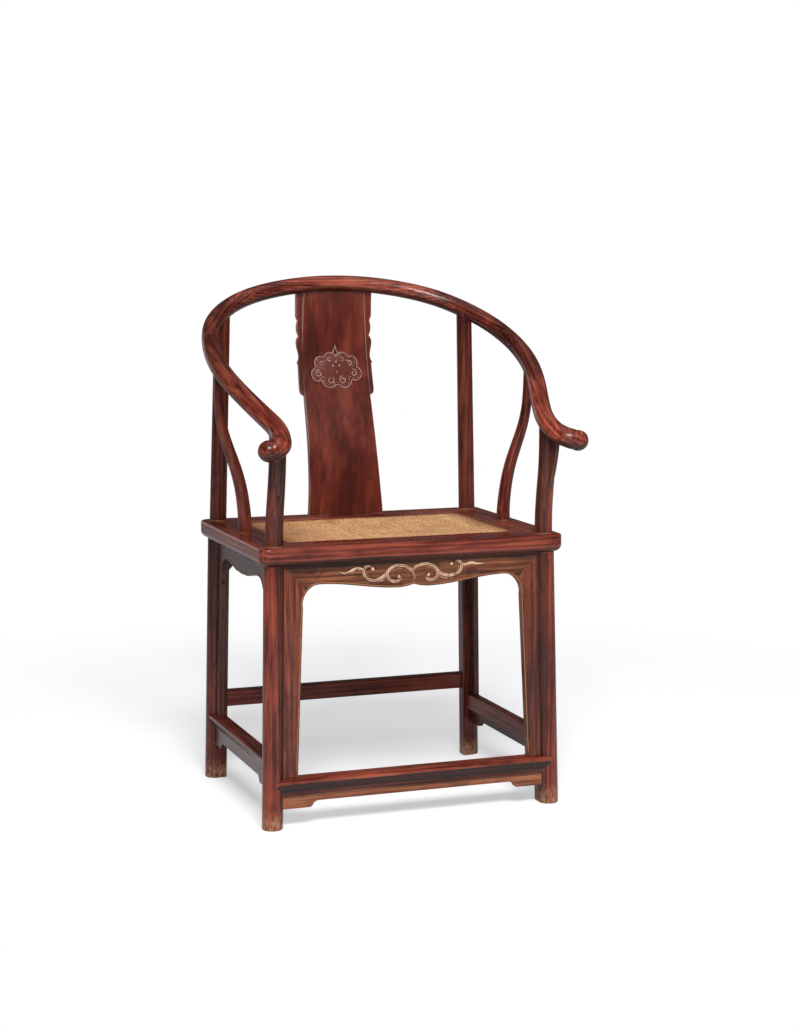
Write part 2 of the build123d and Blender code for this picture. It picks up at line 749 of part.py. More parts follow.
footrest_half_length = leg_x(footrest_top) + stretcher_end_spread
with BuildPart() as footrest:
    profile_plane = Plane(
        origin=(-footrest_half_length, seat_centre_y - footrest_back_y, footrest_bottom),
        x_dir=(0, -1, 0), z_dir=(-1, 0, 0)
    )
    extrude(nosed_profile(profile_plane, footrest_height, footrest_flat, footrest_nose),
            amount=-2 * footrest_half_length)
    with BuildSketch(Plane.XY.offset(footrest_bottom)) as plan:
        with Locations((0, footrest_nose_y + footrest_nose)):
            Rectangle(2 * footrest_half_length, 2 * footrest_nose)
        fillet(plan.vertices(), stretcher_end_radius)
    extrude(amount=footrest_height, mode=Mode.INTERSECT)
    right_leg = lower_leg(-1, fit_gap)
    add(right_leg, mode=Mode.SUBTRACT)
    add(mirror(right_leg, about=Plane.YZ, mode=Mode.PRIVATE), mode=Mode.SUBTRACT)
    add(leg_tenon(front, footrest_tenon_z))
save(footrest, "footrest")

side_half_length = leg_y(side_stretcher_top) + stretcher_end_spread
with BuildPart() as side_stretcher:
    profile_plane = Plane(
        origin=(side_stretcher_inner_x, seat_centre_y - side_half_length, side_stretcher_bottom),
        x_dir=(1, 0, 0), z_dir=(0, -1, 0)
    )
    extrude(nosed_profile(profile_plane, side_stretcher_height, side_stretcher_flat, side_stretcher_nose),
            amount=-2 * side_half_length)
    with BuildSketch(Plane.XY.offset(side_stretcher_bottom)) as plan:
        with Locations((side_stretcher_inner_x, seat_centre_y)):
            Rectangle(2 * side_stretcher_nose, 2 * side_half_length)
        fillet(plan.vertices(), stretcher_end_radius)
    extrude(amount=side_stretcher_height, mode=Mode.INTERSECT)
    for facing in (-1, 1):
        add(lower_leg(facing, fit_gap), mode=Mode.SUBTRACT)
    add(leg_tenon(right, side_tenon_z))
save_pair(side_stretcher, "side_stretcher")

with BuildPart() as rear_stretcher:
    with BuildSketch(Plane.YZ):
        with Locations((seat_centre_y + leg_y(rear_tenon_z), rear_tenon_z)):
            RectangleRounded(rear_stretcher_thickness, rear_stretcher_height, rear_stretcher_edge_radius)
    extrude(amount=leg_x(rear_tenon_z), both=True)
    right_leg = lower_leg(1, fit_gap)
    add(right_leg, mode=Mode.SUBTRACT)
    add(mirror(right_leg, about=Plane.YZ, mode=Mode.PRIVATE), mode=Mode.SUBTRACT)
    add(leg_tenon(rear, rear_tenon_z))
save(rear_stretcher, "rear_stretcher")

footrest_apron_proud = footrest_back_y + footrest_nose - footrest_apron_inset - leg_y(footrest_bottom)
footrest_apron_board = (front, footrest_apron_proud, low_board_thickness)
with BuildPart() as footrest_apron:
    outline = bracketed_outline(front, footrest_apron_bottom, footrest_bracket_bottom,
                                leg_x(footrest_bracket_bottom) - footrest_bracket_inset,
                                footrest_bottom - fit_gap)
    add(bracketed_board(*footrest_apron_board, outline))
save(footrest_apron, "footrest_apron")

side_apron_face_x = side_stretcher_inner_x + side_stretcher_nose - side_apron_inset
side_low_board = (right, side_apron_face_x - leg_x(side_stretcher_bottom), low_board_thickness)
with BuildPart() as side_stretcher_apron:
    outline = bracketed_outline(right, side_apron_bottom, side_bracket_bottom,
                                leg_y(side_bracket_bottom) - side_bracket_inset,
                                side_stretcher_bottom - fit_gap)
    add(bracketed_board(*side_low_board, outline))
save_pair(side_stretcher_apron, "side_stretcher_apron")


# ---------------------------------------------------------------- arm spandrels
spandrel_along = Vector(sin(radians(spandrel_angle)), -cos(radians(spandrel_angle)), 0)
spandrel_foot_z = front_head.Z - spandrel_drop


def front_post_section(z):
    """Centre and radius of the front post at a height."""
    axis = front_post_axis.edge()
    share = (z - post_foot_z) / (front_head.Z - post_foot_z)
    return axis.position_at(share), front_post_radius + (post_top_radius - front_post_radius) * share


def spandrel(grow=0.0):
    """Upright board in the angle between the front post and the hand, let into the post."""
    origin = Vector(front_head.X, front_head.Y, 0)
    plane = Plane(origin=origin, x_dir=spandrel_along, z_dir=spandrel_along.cross(Vector(0, 0, 1)))
    inner, outer = [], []
    steps = 4
    for i in range(steps + 1):
        centre, radius = front_post_section(spandrel_foot_z + spandrel_drop * i / steps)
        surface = (centre - origin).dot(spandrel_along) + radius
        width = spandrel_foot_width + (spandrel_top_width - spandrel_foot_width) * i / steps
        inner.append((surface - spandrel_housing - grow, centre.Z))
        outer.append((surface + width, centre.Z - spandrel_top_width / 2 * i / steps))
    with BuildPart(mode=Mode.PRIVATE) as board:
        with BuildSketch(plane) as outline:
            with BuildLine():
                Spline(*inner)
                Line(inner[-1], outer[-1])
                Spline(*outer)
                Line(outer[0], inner[0])
            make_face()
            foot_corner = outline.vertices().sort_by_distance(outer[0])[0]
            fillet(foot_corner, spandrel_foot_width * 0.7)
        extrude(amount=spandrel_thickness / 2 + grow, both=True)
    return board.part


with BuildPart() as arm_spandrel:
    add(spandrel())
    add(cope(front_post_arc), mode=Mode.SUBTRACT)
save_pair(arm_spandrel, "arm_spandrel")

# ---------------------------------------------------------------- legs and posts
front_housings = [
    housing(*front_board, footrest_top, seat_bottom),
    housing(*side_board, side_stretcher_top, seat_bottom),
    housing(*footrest_apron_board, footrest_bracket_bottom - fit_gap, footrest_bottom),
    housing(*side_low_board, side_bracket_bottom - fit_gap, side_stretcher_bottom),
    spandrel(fit_gap),
]
rear_housings = [
    housing(*rear_board, rear_apron_bracket_bottom - fit_gap, seat_bottom),
    housing(*side_board, side_stretcher_top, seat_bottom),
    housing(*side_low_board, side_bracket_bottom - fit_gap, side_stretcher_bottom),
]


def whole_leg(facing, post, housings, tenon_facing, tenon_z, head, head_arc):
    """Leg in one piece with its post, with the mortises for everything that meets it."""
    with BuildPart(mode=Mode.PRIVATE) as leg:
        add(lower_leg(facing))
        chamfer(leg.faces().sort_by(Axis.Z)[0].edges(), foot_chamfer)
        add(post)
        cuts = housings + leg_tenon(tenon_facing, tenon_z, fit_gap) + leg_tenon(right, side_tenon_z, fit_gap)
        for cut in cuts:
            add(cut, mode=Mode.SUBTRACT)
        add(cope(head_arc), mode=Mode.SUBTRACT)
        add(head_tenon(head, post_tenon_radius))
    return leg.part


with BuildPart() as front_leg:
    add(whole_leg(-1, front_post(), front_housings, front, footrest_tenon_z, front_head, front_post_arc))
save_pair(front_leg, "front_leg")

with BuildPart() as rear_leg:
    add(whole_leg(1, rear_post(), rear_housings, rear, rear_tenon_z, rear_head, rear_post_arc))
save_pair(rear_leg, "rear_leg")


def side_post_tenon(grow=0.0):
    """Round tenon at a side post's foot, in the seat rail."""
    foot = Vector(side_post_spread_x, seat_centre_y, 0)
    return upright_peg(foot, side_post_tenon_radius + grow,
                       seat_height - side_post_tenon_length - grow, seat_height + overrun)


with BuildPart() as side_post:
    add(bar_along(side_post_axis.edge(), side_post_base_radius, side_post_head_radius))
    add(side_post_tenon())
    add(cope(side_post_arc), mode=Mode.SUBTRACT)
    add(head_tenon(side_head, post_tenon_radius - 1))
save_pair(side_post, "side_post")

# ---------------------------------------------------------------- splat
splat_blank_half_width = 2 * splat_edge_knots[0][0]
with BuildLine(mode=Mode.PRIVATE) as splat_middle:
    Spline(*[(seat_back_y + behind, seat_height + height) for behind, height in splat_curve])


def splat_sheet(ahead, behind):
    """Sheet that follows the splat's curve, between two distances from the middle of its thickness."""
    axis = splat_middle.edge()
    front_points, back_points = [], []
    steps = 12
    for i in range(steps + 1):
        point, along = axis.position_at(i / steps), axis.tangent_at(i / steps)
        forward = Vector(-along.Y, along.X)
        front_points.append(point + forward * ahead)
        back_points.append(point - forward * behind)
    with BuildPart(mode=Mode.PRIVATE) as sheet:
        with BuildSketch(Plane.YZ):
            with BuildLine():
                Spline(*front_points)
                Line(front_points[-1], back_points[-1])
                Spline(*back_points)
                Line(back_points[0], front_points[0])
            make_face()
        extrude(amount=splat_blank_half_width, both=True)
    return sheet.part


def splat_outline(low, high, grow=0.0):
    """The splat's front outline between two heights, as a prism from front to back."""
    edge = [(half_width + grow, seat_height + height) for half_width, height in splat_edge_knots]
    with BuildPart(mode=Mode.PRIVATE) as prism_part:
        with BuildSketch(Plane.XZ):
            with BuildLine():
                Line((0, edge[0][1]), edge[0])
                Spline(*edge)
                Line(edge[-1], (0, edge[-1][1]))
                mirror(about=Plane.YZ)
            make_face()
        extrude(amount=seat_depth, both=True)
        add(block((-splat_blank_half_width, -seat_depth, low), (splat_blank_half_width, seat_depth, high)),
            mode=Mode.INTERSECT)
    return prism_part.part


splat_low = seat_height + fit_gap
splat_high = seat_height + splat_edge_knots[-1][1]
flange_foot_z = seat_height + flange_foot_height
flange_head_z = splat_high - rail_back_radius / 3
middle_offset = (splat_thickness - flange_thickness) / 2 - flange_setback
half_flange = flange_thickness / 2
half_tongue = flange_tongue_thickness / 2


def flange_tongues(grow=0.0):
    """Tongues of both flanges, in the splat's edges."""
    with BuildPart(mode=Mode.PRIVATE) as tongues:
        add(splat_sheet(middle_offset + half_tongue + grow, half_tongue - middle_offset + grow))
        low, high = flange_foot_z + 2 * flange_tongue - grow, flange_head_z
        add(splat_outline(low, high, fit_gap + overrun / 2), mode=Mode.INTERSECT)
        add(splat_outline(low - overrun, high + overrun, -flange_tongue - grow), mode=Mode.SUBTRACT)
    return tongues.part


def splat_foot_tenon_block(grow=0.0):
    """Flat tenon on the splat's foot, in the rear seat rail."""
    width, thickness, length = splat_foot_tenon
    y = seat_back_y + (splat_curve[0][0] + splat_curve[1][0]) / 2
    return block((-width / 2 - grow, y - thickness / 2 - grow, seat_height - length - grow),
                 (width / 2 + grow, y + thickness / 2 + grow, seat_height + overrun))


crest_cope = rail_tube(-splat_cope_reach, splat_cope_reach, fit_gap)
with BuildPart() as splat:
    add(splat_sheet(splat_thickness / 2, splat_thickness / 2))
    add(splat_outline(splat_low, splat_high), mode=Mode.INTERSECT)
    add(flange_tongues(fit_gap), mode=Mode.SUBTRACT)
    add(crest_cope, mode=Mode.SUBTRACT)
    add(splat_head_tenon())
    add(splat_foot_tenon_block())
save(splat, "splat")

with BuildPart() as splat_flange:
    with BuildSketch(Plane.XZ):
        with BuildLine():
            def lifted(knots):
                return [(x, seat_height + height) for x, height in knots]

            shoulder, upper = lifted(flange_shoulder), lifted(flange_upper_lobe)
            lower, edge = lifted(flange_lower_lobe), lifted(flange_lower_edge)
            Polyline((0, flange_head_z), (shoulder[0][0], flange_head_z), *shoulder)
            Spline(shoulder[-1], *upper)
            Spline(upper[-1], *lower)
            Polyline(lower[-1], *edge, (0, flange_foot_z))
            Line((0, flange_foot_z), (0, flange_head_z))
        make_face()
    extrude(amount=seat_depth, both=True)
    add(splat_sheet(middle_offset + half_flange, half_flange - middle_offset), mode=Mode.INTERSECT)
    add(splat_outline(splat_low, splat_high, fit_gap), mode=Mode.SUBTRACT)
    add(flange_tongues())
    add(crest_cope, mode=Mode.SUBTRACT)
    split(bisect_by=Plane.YZ, keep=Keep.TOP)
save_pair(splat_flange, "splat_flange")

# ---------------------------------------------------------------- seat frame
opening_floor_z = seat_height - rebate_depth
ledge_half_x = opening_half_x - rebate_width
ledge_half_y = opening_half_y - rebate_width
brace_top = opening_floor_z - brace_drop


def seat_box(half_x, half_y, low_z, high_z):
    """Box round the seat's centre."""
    return block((-half_x, seat_centre_y - half_y, low_z), (half_x, seat_centre_y + half_y, high_z))


def brace_tenons(x, grow=0.0):
    """Tenons of one brace, in the front and rear seat rails."""
    half_width, half_thickness = brace_tenon_width / 2 + grow, brace_tenon_thickness / 2 + grow
    middle_z = brace_top - brace_thickness / 2
    inner, outer = ledge_half_y - overrun, ledge_half_y + brace_tenon_length + grow
    return [
        block((x - half_width, seat_centre_y + low, middle_z - half_thickness),
              (x + half_width, seat_centre_y + high, middle_z + half_thickness))
        for low, high in ((inner, outer), (-outer, -inner))
    ]


def frame_tenon(side, facing, grow=0.0):
    """Tenon of a front or rear seat rail, through the mitre into a side rail."""
    inner_y = ledge_half_y + frame_tenon_inset - grow
    outer_y = inner_y + frame_tenon_width + 2 * grow
    mitre_x = ledge_half_x + frame_tenon_inset
    low_x, high_x = sorted((side * ledge_half_x, side * (mitre_x + frame_tenon_reach + grow)))
    low_y, high_y = sorted((facing * inner_y, facing * outer_y))
    high_z = opening_floor_z - frame_tenon_drop + grow
    return block((low_x, seat_centre_y + low_y, high_z - frame_tenon_thickness - 2 * grow),
                 (high_x, seat_centre_y + high_y, high_z))


peg_line_x = opening_half_x - edge_strip_width / 2
peg_line_y = opening_half_y - edge_strip_width / 2
peg_top_z = seat_height - fit_gap


peg_places = []
for side in (-1, 1):
    for share in long_peg_places:
        peg_places.append(Vector(share * opening_half_x, seat_centre_y + side * peg_line_y))
    for share in short_peg_places:
        peg_places.append(Vector(side * peg_line_x, seat_centre_y + share * opening_half_y))


def pegs(grow=0.0):
    """All pegs that hold the edge strips down."""
    with BuildPart(mode=Mode.PRIVATE) as group:
        for place in peg_places:
            add(upright_peg(place, peg_radius + grow, peg_top_z - peg_length - grow, peg_top_z))
    return group.part


right_cuts = [
    tongue(*side_board, side_tongue_half_length, fit_gap),
    front_post(fit_gap),
    rear_post(fit_gap),
    side_post_tenon(fit_gap),
]
with BuildPart() as seat_ring:
    with BuildSketch(Plane.XY.offset(seat_bottom)):
        with Locations((0, seat_centre_y)):
            RectangleRounded(seat_width, seat_depth, seat_corner_radius)
    extrude(amount=seat_thickness)
    fillet(seat_ring.faces().sort_by(Axis.Z)[0].edges(), seat_bottom_edge_radius)
    fillet(seat_ring.faces().sort_by(Axis.Z)[-1].edges(), seat_top_edge_radius)
    rebate_top = seat_height + overrun
    add(seat_box(opening_half_x, opening_half_y, opening_floor_z, rebate_top), mode=Mode.SUBTRACT)
    add(seat_box(ledge_half_x, ledge_half_y, seat_bottom - overrun, rebate_top), mode=Mode.SUBTRACT)
    add(tongue(*front_board, front_tongue_half_length, fit_gap), mode=Mode.SUBTRACT)
    add(tongue(*rear_board, front_tongue_half_length, fit_gap), mode=Mode.SUBTRACT)
    for cut in right_cuts:
        add(cut, mode=Mode.SUBTRACT)
        add(mirror(cut, about=Plane.YZ, mode=Mode.PRIVATE), mode=Mode.SUBTRACT)
    add(pegs(fit_gap), mode=Mode.SUBTRACT)


def mitred_region(half_x, half_y, reach_in, reach_out, facing, low_z, high_z):
    """Share of a mitred frame on one side; facing is (x, y). Half the mitre gap is left at each end."""
    out_x, out_y = facing
    shift = fit_gap / sqrt(2)
    outer = (half_x + reach_out, half_y + reach_out)
    inner = (half_x - reach_in, half_y - reach_in)
    if out_y:
        corners = [(-outer[0], out_y * outer[1]), (outer[0], out_y * outer[1]),
                   (inner[0], out_y * inner[1]), (-inner[0], out_y * inner[1])]
    else:
        corners = [(out_x * outer[0], -outer[1]), (out_x * outer[0], outer[1]),
                   (out_x * inner[0], inner[1]), (out_x * inner[0], -inner[1])]
    with BuildPart(mode=Mode.PRIVATE) as region:
        with BuildSketch(Plane.XY.offset(low_z)):
            with BuildLine():
                Polyline(*[(x + shift * out_x, y + seat_centre_y + shift * out_y) for x, y in corners],
                         close=True)
            make_face()
        extrude(amount=high_z - low_z)
    return region.part


seat_half_x, seat_half_y = seat_width / 2, seat_depth / 2
frame_region = (seat_half_x, seat_half_y, seat_rail_width + 2 * rebate_width, rebate_width)
for name, facing in (("seat_rail_front", front), ("seat_rail_rear", rear)):
    with BuildPart() as long_rail:
        add(seat_ring.part)
        add(mitred_region(*frame_region, facing, seat_bottom, seat_height), mode=Mode.INTERSECT)
        for side in (-1, 1):
            add(frame_tenon(side, facing[1]))
        for x in (-brace_spread, brace_spread):
            for cut in brace_tenons(x, fit_gap):
                add(cut, mode=Mode.SUBTRACT)
        if facing == rear:
            add(splat_foot_tenon_block(fit_gap), mode=Mode.SUBTRACT)
    save(long_rail, name)

with BuildPart() as side_rail:
    add(seat_ring.part)
    add(mitred_region(*frame_region, right, seat_bottom, seat_height), mode=Mode.INTERSECT)
    for facing in (-1, 1):
        add(frame_tenon(1, facing, fit_gap), mode=Mode.SUBTRACT)
save_pair(side_rail, "seat_rail")

# ---------------------------------------------------------------- cane mat and what carries it
webbing_top = opening_floor_z + webbing_thickness
cane_top = webbing_top + cane_thickness
with BuildPart() as palm_webbing:
    add(seat_box(opening_half_x - webbing_inset, opening_half_y - webbing_inset,
                 opening_floor_z + fit_gap, webbing_top))
    add(pegs(fit_gap), mode=Mode.SUBTRACT)
save(palm_webbing, "palm_webbing")

with BuildPart() as cane_mat:
    add(seat_box(opening_half_x - fit_gap, opening_half_y - fit_gap, webbing_top + fit_gap, cane_top))
    add(pegs(fit_gap), mode=Mode.SUBTRACT)
save(cane_mat, "cane_mat")

strip_outer_x, strip_outer_y = opening_half_x - fit_gap, opening_half_y - fit_gap
with BuildPart() as strip_ring:
    add(seat_box(strip_outer_x, strip_outer_y, cane_top + fit_gap, peg_top_z))
    add(seat_box(strip_outer_x - edge_strip_width, strip_outer_y - edge_strip_width, cane_top, seat_height),
        mode=Mode.SUBTRACT)
    add(pegs(fit_gap), mode=Mode.SUBTRACT)
strip_region = (strip_outer_x, strip_outer_y, 2 * edge_strip_width, edge_strip_width)
for name, facing in (("front", front), ("rear", rear), ("right", right), ("left", (-1, 0))):
    with BuildPart() as edge_strip:
        add(strip_ring.part)
        add(mitred_region(*strip_region, facing, cane_top, seat_height), mode=Mode.INTERSECT)
    save(edge_strip, f"cane_edge_strip_{name}")

with BuildPart() as edge_strip_pegs:
    add(pegs())
save(edge_strip_pegs, "edge_strip_pegs")

brace_half_length = ledge_half_y - fit_gap
with BuildPart() as seat_brace:
    with BuildSketch(Plane.YZ.offset(brace_spread)):
        with BuildLine():
            near, far = seat_centre_y - brace_half_length, seat_centre_y + brace_half_length
            brace_bottom = brace_top - brace_thickness
            for height in (brace_top, brace_bottom):
                ThreePointArc((near, height), (seat_centre_y, height - brace_sag), (far, height))
            for end in (near, far):
                Line((end, brace_top), (end, brace_bottom))
        make_face()
    extrude(amount=brace_width / 2, both=True)
    for tenon in brace_tenons(brace_spread):
        add(tenon)
save_pair(seat_brace, "seat_brace")
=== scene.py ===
# Dresses the horseshoe-back armchair: a finish for every joined piece, the carving on the front apron
# and the splat, the beads along the arches, the woven cane seat with the palm cords under it, and the
# studio. Metres; +Z is up and -Y is the front.

import logging
import math
from dataclasses import dataclass, replace
from enum import Enum
from typing import Any, Callable, Optional, Sequence, Union

import bmesh
import bpy
from bmesh.types import BMesh, BMFace, BMVert
from bpy.types import ID, Curve, Material, Node, NodeSocket, Object, World
from mathutils import Matrix, Vector
from mathutils.bvhtree import BVHTree


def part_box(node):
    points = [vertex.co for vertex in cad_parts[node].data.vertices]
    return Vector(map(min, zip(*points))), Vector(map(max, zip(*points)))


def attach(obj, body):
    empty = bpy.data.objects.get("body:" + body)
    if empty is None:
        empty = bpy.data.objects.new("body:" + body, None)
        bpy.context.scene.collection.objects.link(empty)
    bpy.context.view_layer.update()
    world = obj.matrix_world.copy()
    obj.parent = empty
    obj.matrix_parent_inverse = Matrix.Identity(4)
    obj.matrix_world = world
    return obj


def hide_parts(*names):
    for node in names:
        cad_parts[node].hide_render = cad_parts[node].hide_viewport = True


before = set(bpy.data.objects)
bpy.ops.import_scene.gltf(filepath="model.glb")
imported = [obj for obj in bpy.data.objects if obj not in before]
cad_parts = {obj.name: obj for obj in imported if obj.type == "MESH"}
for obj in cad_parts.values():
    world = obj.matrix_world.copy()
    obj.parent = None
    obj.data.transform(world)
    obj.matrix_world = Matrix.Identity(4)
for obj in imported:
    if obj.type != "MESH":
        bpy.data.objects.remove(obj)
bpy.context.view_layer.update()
MM = 0.001
log = logging.getLogger("armchair")

Triple = tuple[float, float, float]
Point2 = tuple[float, float]
Operand = Union["Channel", float, Triple]


# ---- shader maths
def operator(name: str, swapped: bool = False) -> Callable[["Channel", Operand], "Channel"]:
    """Arithmetic operator that adds a maths node; swapped where the channel is its right operand."""
    return lambda this, other: this.bench.maths(name, *((other, this) if swapped else (this, other)))


class Channel:
    """A number, vector or colour that runs over a surface; arithmetic on it adds the nodes it needs."""

    def __init__(self, bench: "Bench", socket: NodeSocket) -> None:
        """Wrap one output socket of a material under construction."""
        self.bench = bench
        self.socket = socket

    __add__, __radd__ = operator("ADD"), operator("ADD", swapped=True)
    __sub__, __rsub__ = operator("SUBTRACT"), operator("SUBTRACT", swapped=True)
    __mul__, __truediv__, __pow__ = operator("MULTIPLY"), operator("DIVIDE"), operator("POWER")

    def __abs__(self) -> "Channel":
        """The number without its sign."""
        return self.bench.maths("ABSOLUTE", self, 0.0)

    def part(self, axis: str) -> "Channel":
        """One component, X, Y or Z, of a vector."""
        return self.bench.tap("SeparateXYZ", axis, {"Vector": self})

    def length(self) -> "Channel":
        """Length of a vector."""
        return self.bench.tap("VectorMath", "Value", {0: self}, operation="LENGTH")

    def dot(self, other: Operand) -> "Channel":
        """How far a direction agrees with another, from -1 to 1."""
        return self.bench.tap("VectorMath", "Value", {0: self, 1: other}, operation="DOT_PRODUCT")

    def wave(self) -> "Channel":
        """Sine, moved into the range from 0 to 1."""
        return self.bench.maths("SINE", self, 0.0) * 0.5 + 0.5

    def step(self, low: float, high: float, start: float = 0.0, end: float = 1.0) -> "Channel":
        """Smooth step from start to end while this channel goes from low to high; low may be the larger."""
        values = {"Value": self, "From Min": low, "From Max": high, "To Min": start, "To Max": end}
        return self.bench.tap("MapRange", "Result", values, interpolation_type="SMOOTHSTEP")


@dataclass(frozen=True)
class Lumps:
    """A noise: its lumps to a metre of X, Y and Z, and how far its pattern is shifted.

    ``clear`` are the values between which it is stretched to run from 0 to 1.
    """

    count: Triple
    detail: float = 2.0
    roughness: float = 0.5
    shift: Optional[Triple] = None
    clear: Optional[Point2] = None


class Bench:
    """Builds the nodes of one material, or of the world."""

    def __init__(self, owner: Union[Material, World]) -> None:
        """Start with an empty node tree."""
        owner.use_nodes = True
        self.material = owner
        self.tree = owner.node_tree
        self.tree.nodes.clear()

    @classmethod
    def for_material(cls, name: str) -> "Bench":
        """Bench with a new material on it."""
        return cls(bpy.data.materials.new(name))

    def node(self, kind: str, inputs: dict[Any, Any], **settings: Any) -> Node:
        """Add one node.

        Args:
            kind: the node's type, without the words that all of them start with.
            inputs: values or channels by socket name or number.
            settings: properties that are set first; ``stops`` are a colour ramp's (place, colour) pairs.

        Returns:
            The node.
        """
        node = self.tree.nodes.new(f"ShaderNode{kind}")
        for key, value in settings.items():
            if key == "stops":
                elements = node.color_ramp.elements
                while len(elements) < len(value):
                    elements.new(1.0)
                for element, (place, colour) in zip(elements, value):
                    element.position = place
                    element.color = (*colour, 1.0)
            else:
                setattr(node, key, value)
        for key, value in inputs.items():
            socket = node.inputs[key]
            if isinstance(value, Channel):
                self.tree.links.new(value.socket, socket)
            elif socket.type == "RGBA":
                socket.default_value = (*value[:3], 1.0)
            else:
                socket.default_value = value
        return node

    def tap(self, kind: str, output: Union[str, int], inputs: dict[Any, Any], **settings: Any) -> Channel:
        """Add one node and take one of its outputs."""
        return Channel(self, self.node(kind, inputs, **settings).outputs[output])

    def maths(self, operation: str, first: Operand, second: Operand) -> Channel:
        """Add a Math node, or a Vector Math node where an operand is a vector.

        Args:
            operation: what the node does.
            first: left operand.
            second: right operand.

        Returns:
            The result.
        """
        vectors = [o for o in (first, second) if isinstance(o, tuple)
                   or isinstance(o, Channel) and o.socket.type in ("VECTOR", "RGBA")]
        if not vectors:
            return self.tap("Math", "Value", {0: first, 1: second}, operation=operation)
        pair = {i: (o, o, o) if isinstance(o, (int, float)) else o for i, o in enumerate((first, second))}
        return self.tap("VectorMath", "Vector", pair, operation=operation)

    def place(self, along: Triple = (0.0, 0.0, 1.0)) -> Channel:
        """Object coordinates in metres, turned so that Z runs along a direction on the object."""
        turn = Vector((0, 0, 1)).rotation_difference(Vector(along)).to_euler()
        return self.tap("Mapping", "Vector", {"Vector": self.tap("TexCoord", "Object", {}),
                                              "Rotation": tuple(turn)}, vector_type="TEXTURE")

    def noise(self, where: Channel, lumps: Lumps) -> Channel:
        """Lay a noise over some coordinates.

        Args:
            where: the coordinates, in metres.
            lumps: the noise.

        Returns:
            Its value, from 0 to 1.
        """
        spot = where * lumps.count
        if lumps.shift:
            spot = spot + lumps.shift
        values = {"Vector": spot, "Scale": 1.0, "Detail": lumps.detail, "Roughness": lumps.roughness}
        value = self.tap("TexNoise", "Fac", values, noise_dimensions="3D")
        return value.step(*lumps.clear) if lumps.clear else value

    def waver(self, where: Channel, count: Triple, reach: Triple) -> Channel:
        """Shift coordinates to and fro: so many bends to a metre, and so far, along X, Y and Z."""
        noises = self.tap("TexNoise", "Color", {"Vector": where * count, "Scale": 1.0, "Detail": 2.0},
                          noise_dimensions="3D")
        return where + (noises - (0.5, 0.5, 0.5)) * reach

    def ramp(self, value: Channel, stops: Sequence[tuple[float, Triple]]) -> Channel:
        """Colour that follows a value through a few stops."""
        return self.tap("ValToRGB", "Color", {"Fac": value}, stops=stops)

    def mix(self, factor: Operand, under: Operand, over: Operand, mode: str = "MIX") -> Channel:
        """Lay one colour over another; the factor is how much of the upper one shows."""
        return self.tap("Mix", 2, {0: factor, 6: under, 7: over}, data_type="RGBA", blend_type=mode)

    def soft_edge(self, radius: float) -> Channel:
        """Surface normal with the arrises rounded over."""
        return self.tap("Bevel", 0, {"Radius": radius}, samples=4)

    def face_normal(self) -> Channel:
        """Surface normal as it is."""
        return self.tap("NewGeometry", "Normal", {})

    def finish(self, colour: Channel, roughness: Operand, height: Channel, relief: float, level: float,
               normal: Optional[Channel] = None, coat: float = 0.0) -> Material:
        """Close the material with its shader.

        Args:
            colour: base colour.
            roughness: roughness.
            height: height of the surface's fine relief, from 0 to 1.
            relief: depth of that relief in metres.
            level: specular level.
            normal: normal under the relief.
            coat: weight of the wax coat.

        Returns:
            The finished material.
        """
        under = {} if normal is None else {"Normal": normal}
        bump = self.tap("Bump", "Normal", {"Height": height, "Distance": relief, "Strength": 1.0, **under})
        shader = self.tap("BsdfPrincipled", "BSDF", {
            "Base Color": colour, "Roughness": roughness, "Normal": bump,
            "Coat Weight": coat, "Coat Roughness": COAT_ROUGHNESS, "Specular IOR Level": level,
        })
        self.node("OutputMaterial", {"Surface": shader})
        return self.material


# ---- finishes
COAT_ROUGHNESS = 0.18
WOOD_LEVEL, CANE_LEVEL, CORD_LEVEL = 0.27, 0.3, 0.2


class Grain(Enum):
    """Direction in which a piece's wood grain runs."""

    UPRIGHT = (0.0, 0.0, 1.0)
    ACROSS = (1.0, 0.0, 0.0)
    FRONT_TO_BACK = (0.0, 1.0, 0.0)
    RAIL_RIGHT_SHOULDER = (0.48, -0.80, -0.36)
    RAIL_LEFT_SHOULDER = (-0.48, -0.80, -0.36)
    RAIL_RIGHT_ARM = (-0.14, -0.90, -0.42)
    RAIL_LEFT_ARM = (0.14, -0.90, -0.42)
    RIGHT_SIDE_POST = (0.19, 0.10, 0.97)
    LEFT_SIDE_POST = (-0.19, 0.10, 0.97)


@dataclass(frozen=True)
class Tones:
    """Colours of one wood, from its dark veins to its lightest streaks."""

    vein: Triple
    deep: Triple
    body: Triple
    light: Triple
    worn_and_highlight: Triple

    def scaled(self, share: float) -> "Tones":
        """The same wood, lighter or darker; its light colour for arrises and highlights stays as it is."""
        shades = (self.vein, self.deep, self.body, self.light)
        return Tones(*(tuple(share * part for part in shade) for shade in shades), self.worn_and_highlight)


LEG_TONES = Tones((0.008, 0.002, 0.002), (0.058, 0.008, 0.004), (0.155, 0.024, 0.012),
                  (0.255, 0.052, 0.027), (0.40, 0.22, 0.11))
RAIL_TONES = Tones((0.007, 0.002, 0.001), (0.042, 0.005, 0.003), (0.130, 0.021, 0.012),
                   (0.275, 0.064, 0.036), (0.38, 0.17, 0.10))
SEAT_TONES = Tones((0.010, 0.003, 0.002), (0.060, 0.009, 0.005), (0.175, 0.029, 0.015),
                   (0.285, 0.062, 0.033), (0.42, 0.27, 0.22))
APRON_TONES = Tones((0.016, 0.005, 0.003), (0.080, 0.020, 0.008), (0.220, 0.066, 0.028),
                    (0.350, 0.128, 0.055), (0.48, 0.28, 0.15))
STILE_TONES = Tones((0.012, 0.004, 0.003), (0.050, 0.009, 0.005), (0.125, 0.026, 0.013),
                    (0.215, 0.058, 0.028), (0.34, 0.18, 0.11))
